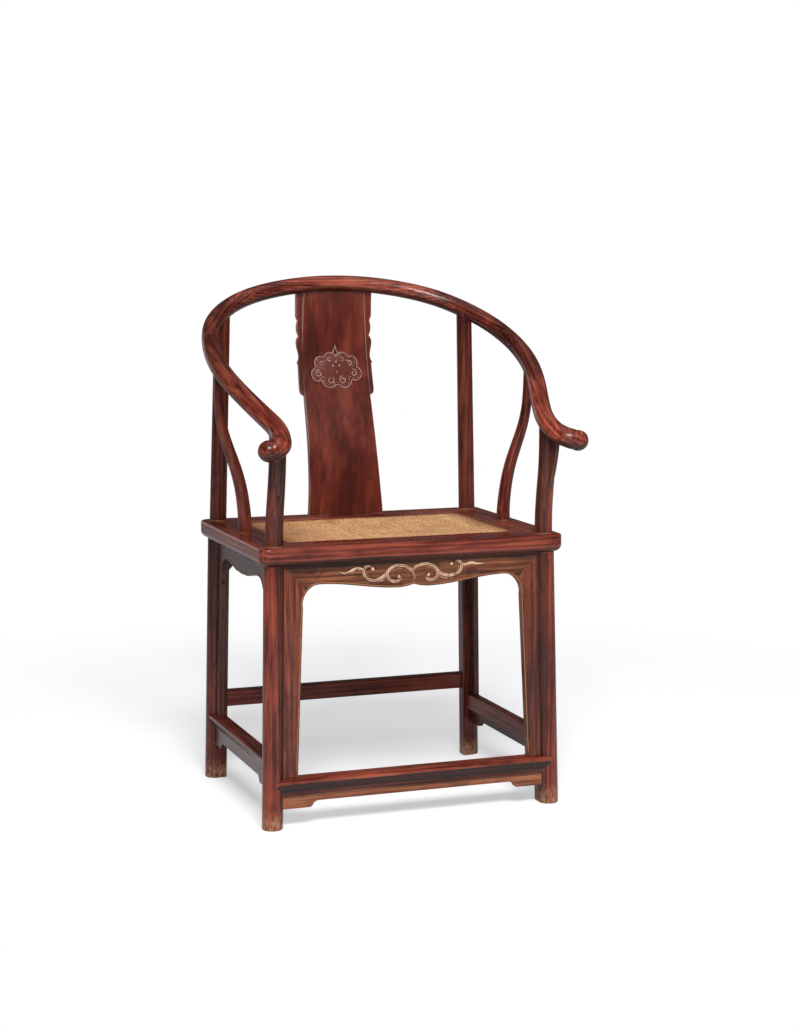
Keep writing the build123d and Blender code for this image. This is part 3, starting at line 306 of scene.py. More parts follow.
# darker copy of the rosewood for the boards at the sides, at the back and under the seat: painted shade
DARK_TONES = Tones((0.008, 0.003, 0.003), (0.025, 0.006, 0.004), (0.062, 0.014, 0.009),
                   (0.110, 0.029, 0.019), (0.30, 0.17, 0.13))
# the splat's light edge colour stands for a painted highlight along its arrises
SPLAT_TONES = Tones((0.010, 0.003, 0.002), (0.048, 0.007, 0.004), (0.100, 0.014, 0.007),
                    (0.165, 0.029, 0.014), (0.55, 0.43, 0.38))

# noises of the wood, with Z along its grain
FIBRES = Lumps((620.0, 620.0, 16.0), 2.0, 0.6)
CLOUDS = Lumps((13.0, 13.0, 5.0), 3.0, 0.55)
VEINS = Lumps((85.0, 85.0, 7.0), 4.0, 0.6, shift=(3.1, 7.7, 1.3), clear=(0.53, 0.66))
MOTTLES = Lumps((34.0, 34.0, 20.0), 3.0, 0.6, shift=(5.0, 1.0, 2.0), clear=(0.53, 0.68))
PORES = Lumps((1500.0, 1500.0, 70.0), 1.0, 0.5, clear=(0.62, 0.74))
SCRATCHES = Lumps((700.0, 700.0, 90.0), 2.0, 0.6, clear=(0.40, 0.62))
STREAKS_ALONG = 6.0
GRAIN_BENDS, GRAIN_REACH = (9.0, 9.0, 2.2), (0.014, 0.014, 0.0)
PITH = (0.043, 0.071, 0.0)  # axis of the growth rings
KNOT_SWIRL = (0.006, 0.004, 0.0)
KNOT_REACH, KNOT_CORE = (3.0, 0.5), (1.4, 0.7)  # of the swirl and of the dark, as shares of its radius

FIBRE_SHARE, FIBRE_RELIEF = 0.14, 0.35
PORE_SHARE, PORE_ROUGHNESS = 0.55, 0.25
CLOUD_ROUGHNESS = 0.16
WOOD_RELIEF, WOOD_COAT = 0.12 * MM, 0.12
TONE_STOPS = (0.40, 0.50, 0.60)
PAINTED_UNDERSIDE_SPAN = (-0.22, -0.50)  # upward parts of the normal, from a plain face to an underside in full painted shade
ARRIS = (0.985, 0.86)  # agreement of the rounded and the true normal, from a plain face to an arris
WORN_CLOUDS = (0.34, 0.60)
FOOT_WEAR, FOOT_WEAR_SHARE = (0.045, 0.004), 0.85  # heights, from sound wood to a scratched foot
# a painted highlight ring round each post just over the seat: its heights and share
HIGHLIGHT_RING_TOP, HIGHLIGHT_RING_FOOT, HIGHLIGHT_RING_SHARE = (2.2 * MM, 1.0 * MM), (-0.6 * MM, 0.0), 0.55


@dataclass(frozen=True)
class Knot:
    """A dark knot in the wood."""

    centre: Triple
    radius: float


@dataclass(frozen=True)
class Zone:
    """A stretch of a piece that is darker or lighter than the rest, by height or by place; several are painted
    shade, under the seat, round the carving, in the seams between stiles and legs, under the footrest's nose
    and under the right hand.

    ``axis`` is Y, Z or X; X counts outwards from the chair's middle plane. The colour is multiplied by
    1 before ``start`` and by ``share`` beyond ``end``.
    """

    axis: str
    start: float
    end: float
    share: float


@dataclass(frozen=True)
class Rosewood:
    """Waxed reddish hardwood: growth rings, long streaks, dark veins and pores; its arrises are lightened as
    wear, and on the splat as a painted highlight, with painted shade on its undersides and a painted highlight
    ring where a post meets the seat.
    """

    name: str
    grain: Grain
    tones: Tones
    slot: str = "rosewood"
    ring_spacing: float = 0.0085
    ring_share: float = 0.07
    streak_width: float = 0.0045
    cloud_share: float = 0.34
    vein_share: float = 0.50
    mottle_share: float = 0.35
    painted_underside_share: float = 0.70
    arris_wear_and_highlight_share: float = 0.70
    arris_wear_and_highlight_width: float = 0.0016
    worn_feet: bool = False
    highlight_ring_height: float = 0.0
    zones: Sequence[Zone] = ()
    knot: Optional[Knot] = None
    gloss: float = 0.25

    def near_knot(self, bench: Bench, span: Point2) -> Channel:
        """Nearness to the knot, from 0 to 1 between two distances, as shares of its radius."""
        far, near = (self.knot.radius * share for share in span)
        return (bench.place() - self.knot.centre).length().step(far, near)

    def figure(self, bench: Bench, run: Channel, bent: Channel, fibres: Channel, clouds: Channel) -> Channel:
        """Mix the wood's own colours.

        Args:
            bench: the material.
            run: coordinates with Z along the grain.
            bent: the same, following the bends of the grain.
            fibres: the noise of the fibres.
            clouds: the noise of the clouds.

        Returns:
            The colour.
        """
        rings = ((bent * (1.0, 1.0, 0.0) - PITH).length() * (math.tau / self.ring_spacing)).wave()
        across = 1 / self.streak_width
        streaks = bench.noise(bent, Lumps((across, across, STREAKS_ALONG), 4.0, 0.65))
        streak_share = 1.0 - FIBRE_SHARE - self.ring_share - self.cloud_share
        tone = rings * self.ring_share + streaks * streak_share + clouds * self.cloud_share
        tones = self.tones
        stops = list(zip(TONE_STOPS, (tones.deep, tones.body, tones.light)))
        colour = bench.ramp(tone + fibres * FIBRE_SHARE, stops)
        colour = bench.mix(bench.noise(bent, VEINS) * self.vein_share, colour, tones.vein)
        return bench.mix(bench.noise(run, MOTTLES) * self.mottle_share, colour, tones.vein)

    def wear_and_highlight(self, bench: Bench, run: Channel, clouds: Channel, edge_normal: Channel) -> Channel:
        """Find where the finish is abraded, on arrises and feet, and where a painted highlight ring runs round
        a post at the seat; on the splat the arrises take a painted highlight.

        Args:
            bench: the material.
            run: coordinates with Z along the grain.
            clouds: the noise of the clouds.
            edge_normal: the normal with rounded arrises.

        Returns:
            How much of the light colour is laid on, from 0 to 1.
        """
        arris = edge_normal.dot(bench.face_normal()).step(*ARRIS)
        rubbed_and_lit = arris * clouds.step(*WORN_CLOUDS) * self.arris_wear_and_highlight_share
        height = bench.place().part("Z")
        if self.worn_feet:
            rubbed_and_lit = rubbed_and_lit + height.step(*FOOT_WEAR) * bench.noise(run, SCRATCHES) * FOOT_WEAR_SHARE
        if self.highlight_ring_height:
            over_seat = height - self.highlight_ring_height
            rubbed_and_lit = rubbed_and_lit + over_seat.step(*HIGHLIGHT_RING_TOP) * over_seat.step(*HIGHLIGHT_RING_FOOT) * HIGHLIGHT_RING_SHARE
        return rubbed_and_lit

    def make(self) -> Material:
        """Build the material."""
        bench = Bench.for_material(self.name)
        run = bench.place(self.grain.value)
        bent = bench.waver(run, GRAIN_BENDS, GRAIN_REACH)
        if self.knot:
            bent = bent + bench.maths("MULTIPLY", KNOT_SWIRL, self.near_knot(bench, KNOT_REACH))
        fibres, clouds, pores = bench.noise(bent, FIBRES), bench.noise(run, CLOUDS), bench.noise(run, PORES)
        colour = self.figure(bench, run, bent, fibres, clouds)
        colour = bench.mix(pores * PORE_SHARE, colour, self.tones.vein)
        if self.knot:
            colour = bench.mix(self.near_knot(bench, KNOT_CORE), colour, self.tones.vein)
        # painted shade: faces that look downwards are mixed towards the vein colour
        under = bench.face_normal().part("Z").step(*PAINTED_UNDERSIDE_SPAN) * self.painted_underside_share
        colour = bench.mix(under, colour, self.tones.vein)
        for zone in self.zones:
            spot = bench.place().part(zone.axis)
            if zone.axis == "X":
                spot = abs(spot)
            colour = colour * spot.step(zone.start, zone.end, 1.0, zone.share)
        edge_normal = bench.soft_edge(self.arris_wear_and_highlight_width)
        colour = bench.mix(self.wear_and_highlight(bench, run, clouds, edge_normal), colour, self.tones.worn_and_highlight)
        roughness = self.gloss + pores * PORE_ROUGHNESS + (clouds - 0.5) * CLOUD_ROUGHNESS
        surface = fibres * FIBRE_RELIEF + (1.0 - pores) * (1.0 - FIBRE_RELIEF)
        return bench.finish(colour, roughness, surface, WOOD_RELIEF, WOOD_LEVEL, edge_normal, WOOD_COAT)


RUBBING = Lumps((120.0, 120.0, 120.0), 3.0, 0.6)
CARVING_STOPS = (0.22, 0.52, 0.90)
LIFT_SHARE, RUB_SHARE, RUB_ROUGHNESS = 0.90, 1.1, 0.15
CARVING_RELIEF, CARVING_COAT = 0.15 * MM, 0.05


@dataclass(frozen=True)
class CarvedWood:
    """Carving coloured by its height: crests light, partly from rubbing and partly as painted highlight, and
    flanks and grooves dark, partly dirt and partly painted shade.
    """

    name: str
    groove: Triple
    flank: Triple
    crest: Triple
    slot: str = "rosewood"
    gloss: float = 0.28

    def make(self) -> Material:
        """Build the material."""
        bench = Bench.for_material(self.name)
        lift = bench.tap("Attribute", "Fac", {}, attribute_name="lift")
        rub = bench.noise(bench.place(), RUBBING)
        stops = list(zip(CARVING_STOPS, (self.groove, self.flank, self.crest)))
        # light crests are partly painted highlight and dark grooves partly painted shade
        colour = bench.ramp(lift * LIFT_SHARE + (rub - 0.5) * RUB_SHARE, stops)
        roughness = self.gloss + rub * RUB_ROUGHNESS
        return bench.finish(colour, roughness, rub, CARVING_RELIEF, WOOD_LEVEL, coat=CARVING_COAT)


CANE_BENDS, CANE_REACH = (30.0, 30.0, 1.0), (0.0016, 0.0016, 0.0)
CANE_PATCHES = Lumps((270.0, 270.0, 1.0), 3.0, 0.7)
CANE_STAINS = Lumps((16.0, 20.0, 1.0), 4.0, 0.6, clear=(0.50, 0.72))
CANE_STOPS = ((0.15, (0.22, 0.085, 0.030)), (0.42, (0.60, 0.275, 0.110)),
              (0.70, (0.92, 0.52, 0.23)), (0.95, (1.00, 0.78, 0.47)))
SOIL, LEFT_END_TINT = (0.20, 0.075, 0.035), (0.55, 0.36, 0.34)  # what brown cane is multiplied by
LEFT_END_SPAN = (-0.06, -0.21)  # from the plain cane to its darker left end, along X
BORDER_X, BORDER_Y = (0.80, 1.0), (0.86, 1.0)  # shares of the half width and depth, from clean to soiled
BORDER_SHARE, STAIN_SHARE, LEFT_END_SHARE = 0.75, 0.30, 0.55
STRAND_SHARE, PATCH_SHARE, CROWN_SHARE, BASE_TONE = 0.30, 2.1, 0.18, 0.28
TWILL_REPEAT, TWILL_OVER = 4.0, 1.5
NUMBER_GAP = 57.3  # keeps the strands' numbers of the two directions apart
CANE_RELIEF, CANE_ROUGHNESS, PATCH_ROUGHNESS = 0.6 * MM, 0.42, 0.2


@dataclass(frozen=True)
class WovenCane:
    """Split cane in a two-over, two-under twill, golden where it is clean and brown along the frame."""

    half_width: float
    half_depth: float
    middle_y: float
    name: str = "woven_cane"
    slot: str = "cane"
    strand: float = 2.4 * MM

    def make(self) -> Material:
        """Build the material."""
        bench = Bench.for_material(self.name)
        where = bench.place()
        counted = bench.waver(where, CANE_BENDS, CANE_REACH) / (self.strand, self.strand, 1.0)
        across, deep = counted.part("X"), counted.part("Y")
        column, row = bench.maths("FLOOR", across, 0.0), bench.maths("FLOOR", deep, 0.0)
        turn = bench.maths("FLOORED_MODULO", column + row, TWILL_REPEAT)
        along_x = bench.maths("LESS_THAN", turn, TWILL_OVER)
        along_y = 1.0 - along_x
        in_column, in_row = across - column - 0.5, deep - row - 0.5
        crown = 1.0 - (abs(in_row * along_x + in_column * along_y) * 2.0) ** 3.0
        strand = row * along_x + column * along_y + along_x * NUMBER_GAP
        strand_tone = bench.tap("TexWhiteNoise", "Value", {"W": strand}, noise_dimensions="1D")
        patch = bench.noise(where, CANE_PATCHES)
        tone = strand_tone * STRAND_SHARE + (patch - 0.5) * PATCH_SHARE + crown * CROWN_SHARE
        colour = bench.ramp(tone + BASE_TONE, CANE_STOPS)
        edge_x = abs(where.part("X")) / self.half_width
        edge_y = abs(where.part("Y") - self.middle_y) / self.half_depth
        border = bench.maths("MAXIMUM", edge_x.step(*BORDER_X), edge_y.step(*BORDER_Y))
        soiled = border * BORDER_SHARE + bench.noise(where, CANE_STAINS) * STAIN_SHARE
        colour = bench.mix(soiled, colour, SOIL, "MULTIPLY")
        colour = bench.mix(where.part("X").step(*LEFT_END_SPAN) * LEFT_END_SHARE, colour, LEFT_END_TINT, "MULTIPLY")
        return bench.finish(colour, CANE_ROUGHNESS + patch * PATCH_ROUGHNESS, crown, CANE_RELIEF, CANE_LEVEL)


CORD_HAIRS = Lumps((900.0, 900.0, 300.0), 3.0, 0.7)
CORD_PATCHES = Lumps((60.0, 60.0, 60.0), 2.0, 0.5)
HAIR_SHARE = 0.7
CORD_RELIEF, CORD_ROUGHNESS, HAIR_ROUGHNESS = 0.4 * MM, 0.75, 0.15
CORD_STOPS = ((0.30, (0.030, 0.014, 0.007)), (0.55, (0.105, 0.050, 0.024)), (0.80, (0.21, 0.115, 0.060)))


@dataclass(frozen=True)
class PalmCord:
    """Brown palm-fibre cord."""

    name: str = "palm_cord"
    slot: str = "palm_fibre"

    def make(self) -> Material:
        """Build the material."""
        bench = Bench.for_material(self.name)
        where = bench.place()
        hairs, patch = bench.noise(where, CORD_HAIRS), bench.noise(where, CORD_PATCHES)
        colour = bench.ramp(hairs * HAIR_SHARE + patch * (1.0 - HAIR_SHARE), CORD_STOPS)
        return bench.finish(colour, CORD_ROUGHNESS + hairs * HAIR_ROUGHNESS, hairs, CORD_RELIEF, CORD_LEVEL)


# ---- carving
class Facing(Enum):
    """Which way a board looks: its horizontal direction across, and the direction outwards."""

    FRONT = (1.0, 0.0, 0.0), (0.0, -1.0, 0.0)
    RIGHT = (0.0, 1.0, 0.0), (1.0, 0.0, 0.0)
    LEFT = (0.0, -1.0, 0.0), (-1.0, 0.0, 0.0)

    def __init__(self, across: Triple, out: Triple) -> None:
        """Hold both directions."""
        self.across, self.out = Vector(across), Vector(out)


RIM_SEARCH = 0.75  # of the metre in front of the face, before the nearest part of its rim is looked for


class Ground:
    """The face of some CAD nodes, which carving and beads are laid on."""

    def __init__(self, nodes: Sequence[str], facing: Facing) -> None:
        """Gather the faces.

        Args:
            nodes: names of the CAD nodes.
            facing: which way they look.
        """
        self.facing = facing
        corners: list[Vector] = []
        polygons: list[list[int]] = []
        for name in nodes:
            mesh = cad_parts[name].data
            start = len(corners)
            corners += [vertex.co.copy() for vertex in mesh.vertices]
            polygons += [[start + i for i in polygon.vertices] for polygon in mesh.polygons]
        self.tree = BVHTree.FromPolygons(corners, polygons)

    def spot(self, across: float, up: float, proud: float) -> Vector:
        """Point over the face.

        Args:
            across: place along the board.
            up: height.
            proud: distance in front of the face.

        Returns:
            The point; beyond the face's rim it keeps to the nearest part of the rim.
        """
        start = self.facing.across * across + Vector((0, 0, up)) + self.facing.out
        hit = self.tree.ray_cast(start, -self.facing.out)[0]
        if hit is None:
            near = self.tree.find_nearest(start - self.facing.out * RIM_SEARCH)[0]
            hit = start - self.facing.out * (start - near).dot(self.facing.out)
        return hit + self.facing.out * proud

    def rim(self, middle: Point2, stile: float, thickness: float, angles: Sequence[float]) -> list[Point2]:
        """Outline of an opening, found by looking outwards from inside it.

        Args:
            middle: (across, up) of the place to look from.
            stile: distance across from there to the middle of a stile.
            thickness: the board's thickness.
            angles: directions to look in, from the across direction upwards.

        Returns:
            Points (across, up) on the outline.
        """
        depth = self.spot(middle[0] + stile, middle[1], -thickness / 2).dot(self.facing.out)
        start = self.facing.across * middle[0] + self.facing.out * depth + Vector((0, 0, middle[1]))
        outline = []
        for angle in angles:
            toward = self.facing.across * math.cos(angle) + Vector((0, 0, math.sin(angle)))
            hit = self.tree.ray_cast(start, toward)[0]
            if hit is not None:
                outline.append((hit.dot(self.facing.across), hit.z))
        return outline


def beside(path: Sequence[Point2], distance: float) -> list[Point2]:
    """Move a path sideways.

    Args:
        path: the points of the path.
        distance: how far to the left of its direction.

    Returns:
        The moved points.
    """
    moved = []
    for i, (x, y) in enumerate(path):
        (ax, ay), (bx, by) = path[max(i - 1, 0)], path[min(i + 1, len(path) - 1)]
        run = math.hypot(bx - ax, by - ay) or 1.0
        moved.append((x - distance * (by - ay) / run, y + distance * (bx - ax) / run))
    return moved


def metres(path: Sequence[Point2]) -> list[Point2]:
    """Path in metres, from one in millimetres."""
    return [(x * MM, z * MM) for x, z in path]


SWELL_RATE, THIN_RATE = 4.0, 2.5  # of a stroke's width, over its whole length


@dataclass
class Stroke:
    """One carved line: its path on the board, and its half width along it."""

    path: Sequence[Point2]
    half_width: float
    start_width: float = 0.25
    end_width: float = 0.5
    closed: bool = False
    smooth: bool = True

    def width_at(self, share: float) -> float:
        """Half width at a share of the path: it swells from its start and thins to its end."""
        if self.closed:
            return self.half_width
        swell = min(1.0, self.start_width + share * SWELL_RATE)
        thin = min(1.0, self.end_width + (1.0 - share) * THIN_RATE)
        return self.half_width * swell * thin


def new_object(name: str, data: ID) -> Object:
    """Object in the scene with some data on it."""
    made = bpy.data.objects.new(name, data)
    bpy.context.scene.collection.objects.link(made)
    return made


def new_curve(name: str, **settings: Any) -> Curve:
    """Curve with some of its properties set."""
    data = bpy.data.curves.new(name, "CURVE")
    for key, value in settings.items():
        setattr(data, key, value)
    return data


def add_curve(mesh: BMesh, data: Curve, height: float = 1.0) -> None:
    """Add the surface of a thick curve to a mesh.

    Args:
        mesh: the mesh.
        data: the curve.
        height: what the surface's heights are multiplied by.
    """
    holder = new_object(data.name, data)
    bpy.context.view_layer.update()
    flat = bpy.data.meshes.new_from_object(holder.evaluated_get(bpy.context.evaluated_depsgraph_get()))
    for vertex in flat.vertices:
        vertex.co.z *= height
    mesh.from_mesh(flat)
    bpy.data.objects.remove(holder)
    bpy.data.meshes.remove(flat)


PROFILE_CROWN, PROFILE_BASE = 0.62, 0.12  # of a carved band of half width 1
PROFILE_GROOVE, PROFILE_FOOT = 0.24, -0.6
PLATE_SINK, PLATE_EDGE = 0.6 * MM, 0.2  # depth under the face, and share of the height at the rim


class Carver:
    """Turns strokes and bosses into raised carving on a board."""

    def __init__(self, ground: Ground) -> None:
        """Work on one board."""
        self.ground = ground
        self.mesh = bmesh.new()
        self.crests: list[tuple[int, float]] = []

    def note_crest(self, height: float) -> None:
        """Remember how high the shapes stand whose vertices are added from here on."""
        self.crests.append((len(self.mesh.verts), height))

    @staticmethod
    def gouged_profile(humps: int) -> Object:
        """Cross-section of a carved band.

        Args:
            humps: how many parallel strands it has.

        Returns:
            A curve from -1 to 1 across.
        """
        steps = humps * 4
        points = [(-1.0, PROFILE_FOOT)]
        for i in range(steps + 1):
            x = -1.0 + 2.0 * i / steps
            crown = PROFILE_CROWN * math.sqrt(max(0.0, 1.0 - x * x)) + PROFILE_BASE
            groove = PROFILE_GROOVE * (1.0 + math.cos(math.pi * humps * (x + 1.0))) if humps > 1 else 0.0
            points.append((x, crown - groove))
        points.append((1.0, PROFILE_FOOT))
        data = new_curve("gouged_profile", dimensions="2D")
        spline = data.splines.new("POLY")
        spline.points.add(len(points) - 1)
        for point, (x, y) in zip(spline.points, points):
            point.co = (x, y, 0.0, 1.0)
        spline.use_cyclic_u = True
        return new_object("gouged_profile", data)

    def cut(self, strokes: Sequence[Stroke], humps: int, height: float) -> None:
        """Add raised bands.

        Args:
            strokes: the bands' lines.
            humps: how many strands each band has.
            height: how far a band stands up, as a share of its half width.
        """
        profile = self.gouged_profile(humps)
        data = new_curve("strokes", dimensions="2D", fill_mode="NONE", bevel_mode="OBJECT",
                         bevel_object=profile, use_fill_caps=True, resolution_u=5)
        for stroke in strokes:
            spline = data.splines.new("BEZIER" if stroke.smooth else "POLY")
            points = spline.bezier_points if stroke.smooth else spline.points
            points.add(len(stroke.path) - 1)
            for i, (point, (x, y)) in enumerate(zip(points, stroke.path)):
                point.co = (x, y, 0.0) if stroke.smooth else (x, y, 0.0, 1.0)
                if stroke.smooth:
                    point.handle_left_type = point.handle_right_type = "AUTO"
                point.radius = stroke.width_at(i / (len(stroke.path) - 1))
            spline.use_cyclic_u = stroke.closed
        self.note_crest(PROFILE_CROWN * height * max(stroke.half_width for stroke in strokes))
        add_curve(self.mesh, data, height)
        bpy.data.objects.remove(profile)

    def boss(self, centre: Point2, radius: float, height: float) -> None:
        """Add a rounded boss, such as the eye of a volute."""
        self.note_crest(radius * height)
        made = bmesh.ops.create_icosphere(self.mesh, subdivisions=3, radius=radius)
        bmesh.ops.scale(self.mesh, vec=(1.0, 1.0, height), verts=made["verts"])
        bmesh.ops.translate(self.mesh, vec=(*centre, 0.0), verts=made["verts"])

    def plate(self, outline: Sequence[Point2], height: float, bevel: float) -> None:
        """Add a thin raised field inside an outline.

        Args:
            outline: its rim.
            height: how far it stands up.
            bevel: width of its sloping rim.
        """
        self.note_crest(height)
        rim = [self.mesh.verts.new((x, y, -PLATE_SINK)) for x, y in outline]
        bottom = self.mesh.faces.new(rim)
        raised = bmesh.ops.extrude_face_region(self.mesh, geom=[bottom])["geom"]
        top = [item for item in raised if isinstance(item, BMFace)]
        corners = [item for item in raised if isinstance(item, BMVert)]
        bmesh.ops.translate(self.mesh, vec=(0.0, 0.0, PLATE_SINK + height * PLATE_EDGE), verts=corners)
        bmesh.ops.inset_region(self.mesh, faces=top, thickness=bevel, depth=height * (1.0 - PLATE_EDGE))

    def seat(self, name: str) -> Object:
        """Lay everything on the board's face and make it an object.

        Args:
            name: the object's name.

        Returns:
            The object, with its place in its mesh.
        """
        lift = self.mesh.verts.layers.float.new("lift")
        self.mesh.verts.ensure_lookup_table()
        ends = [start for start, _ in self.crests[1:]] + [len(self.mesh.verts)]
        for (start, height), end in zip(self.crests, ends):
            for vertex in self.mesh.verts[start:end]:
                vertex[lift] = min(1.0, max(0.0, vertex.co.z / height))
        bmesh.ops.remove_doubles(self.mesh, verts=self.mesh.verts[:], dist=1e-6)
        for vertex in self.mesh.verts:
            vertex.co = self.ground.spot(vertex.co.x, vertex.co.y, vertex.co.z)
        bmesh.ops.recalc_face_normals(self.mesh, faces=self.mesh.faces[:])
        return make_object(name, self.mesh)


def make_object(name: str, mesh: BMesh, smooth: bool = True) -> Object:
    """Close a bmesh into an object at the origin.

    Args:
        name: the object's name.
        mesh: its shape; it is freed.
        smooth: whether its faces shade smoothly.

    Returns:
        The object.
    """
    data = bpy.data.meshes.new(name)
    mesh.to_mesh(data)
    mesh.free()
    data.polygons.foreach_set("use_smooth", [smooth] * len(data.polygons))
    return new_object(name, data)


def fit_out(piece: Object, finish: Any, stands_for: Optional[str] = None) -> None:
    """Give a new piece its finish and its place in the frame.

    Args:
        piece: the piece.
        finish: what it is finished with.
        stands_for: the CAD node that it replaces, if any.
    """
    piece.data.materials.clear()
    piece.data.materials.append(finish.make())
    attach(piece, "root")
    if stands_for:
        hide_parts(stands_for)
    log.info("%s: %d faces", piece.name, len(piece.data.polygons))


# thin strands beside the apron's bands: distance beside the band in mm, first and last point of the
# band that they follow, and their share of the thin half width
WAVE_STRANDS = ((-5.2, 4, 8, 0.62), (5.4, 1, 6, 0.60))
VOLUTE_STRANDS = ((-4.6, 6, 9, 0.62), (5.4, 3, 8, 0.60))


@dataclass
class ApronCarving:
    """Curling tendrils in the middle of the front apron: two volutes and a leaf tail each way."""

    band: float = 3.6 * MM
    thin: float = 1.9 * MM
    height: float = 0.62
    left_volute: Sequence[Point2] = (
        (-1.6, 438.6), (1.2, 450.7), (-4.4, 460.3), (-12.8, 468.3), (-25.3, 471.6), (-37.8, 470.4),
        (-48.0, 464.4), (-51.7, 455.5), (-46.2, 446.3), (-35.1, 442.2), (-25.4, 446.0), (-24.2, 452.6),
        (-29.0, 455.0))
    left_wave: Sequence[Point2] = (
        (-44.0, 467.5), (-51.5, 461.5), (-57.0, 455.0), (-66.0, 449.2), (-79.4, 446.8), (-91.5, 451.7),
        (-97.0, 463.0), (-93.1, 472.0), (-85.0, 472.6), (-79.5, 468.8))
    left_tail: Sequence[Point2] = (
        (-96.5, 466.5), (-104.0, 470.2), (-112.3, 470.8), (-121.9, 466.3), (-132.8, 462.6),
        (-143.1, 465.4), (-152.6, 470.6))
    right_volute: Sequence[Point2] = (
        (-5.2, 452.0), (-2.6, 460.3), (3.2, 467.3), (13.3, 470.9), (28.2, 471.2), (41.3, 465.4),
        (46.9, 455.2), (43.7, 445.6), (33.8, 442.0), (25.4, 446.0), (24.0, 452.6), (28.8, 455.2))
    right_wave: Sequence[Point2] = (
        (39.0, 467.6), (45.2, 461.7), (52.2, 453.8), (63.1, 448.9), (79.1, 449.4), (91.4, 456.4),
        (94.6, 465.6), (91.4, 472.4), (82.4, 473.9), (75.3, 471.6))
    right_tail: Sequence[Point2] = (
        (93.5, 468.0), (101.9, 467.6), (114.1, 470.0), (126.4, 466.9), (137.0, 467.0), (146.6, 471.3))
    eyes: Sequence[Point2] = ((-29.2, 451.4), (28.6, 451.4), (-80.0, 467.2), (74.5, 469.6))
    eye_radius: float = 4.2 * MM
    eye_height: float = 0.6
    tail_gap: float = 2.6 * MM
    tail_share: float = 0.7

    def side_strands(self) -> list[Stroke]:
        """Thin strands beside the waves and volutes."""
        strokes = []
        for left, right, strands in ((self.left_wave, self.right_wave, WAVE_STRANDS),
                                     (self.left_volute, self.right_volute, VOLUTE_STRANDS)):
            for path, sign in ((left, 1), (right, -1)):
                for gap, first, last, share in strands:
                    line = beside(metres(path), sign * gap * MM)[first:last]
                    strokes.append(Stroke(line, self.thin * share, 0.1, 0.1))
        return strokes

    def build(self) -> None:
        """Carve the tendrils."""
        carver = Carver(Ground(["front_apron"], Facing.FRONT))
        bands = (self.left_volute, self.left_wave, self.right_volute, self.right_wave)
        carver.cut([Stroke(metres(path), self.band, 0.4, 0.4) for path in bands], humps=2, height=self.height)
        tails = []
        for path, gap in ((metres(self.left_tail), self.tail_gap), (metres(self.right_tail), -self.tail_gap)):
            tails += [Stroke(path, self.thin, 0.8, 0.2),
                      Stroke(beside(path, gap)[:-1], self.thin * self.tail_share, 0.5, 0.1)]
        carver.cut(tails + self.side_strands(), humps=1, height=self.height)
        for eye in metres(self.eyes):
            carver.boss(eye, self.eye_radius, self.eye_height)
        fit_out(carver.seat("apron_tendrils"),
                CarvedWood("tendril_wood", (0.016, 0.004, 0.003), (0.17, 0.062, 0.028), (0.68, 0.47, 0.30)))


@dataclass(frozen=True)
class Whorl:
    """Small spiral on the medallion's right: place from its centre, radius in mm, start in degrees, turns."""

    x: float
    z: float
    radius: float
    start: float
    turns: float
    points: int = 14
    winding: float = 0.78
    half_width: float = 1.5 * MM

    def stroke(self, centre: Point2, side: int) -> Stroke:
        """Carve the whorl or its mirror image.

        Args:
            centre: the medallion's centre, in mm.
            side: 1 for the right half and -1 for the left.

        Returns:
            The stroke.
        """
        path = []
        for i in range(self.points + 1):
            share = i / self.points
            angle = math.radians(self.start) + self.turns * math.tau * share
            r = self.radius * (1.0 - self.winding * share)
            path.append((centre[0] + side * (self.x + r * math.cos(angle)),
                         centre[1] + self.z + r * math.sin(angle)))
        return Stroke(metres(path), self.half_width, 0.3, 0.7)


WHORLS = (Whorl(13.5, -19.5, 9.0, 30, 1.4), Whorl(36.5, -6.5, 7.6, 150, -1.3),
          Whorl(29.5, 13.0, 6.2, 180, -1.2), Whorl(13.0, 21.0, 5.6, 190, -1.1), Whorl(6.5, 0.5, 4.6, 210, 1.0))
# bosses of the medallion: place from its centre and radius, in mm
BOSSES = ((0.0, -4.0, 4.6), (-7.0, 9.0, 3.4), (7.0, 9.0, 3.4), (0.0, 16.0, 3.4))


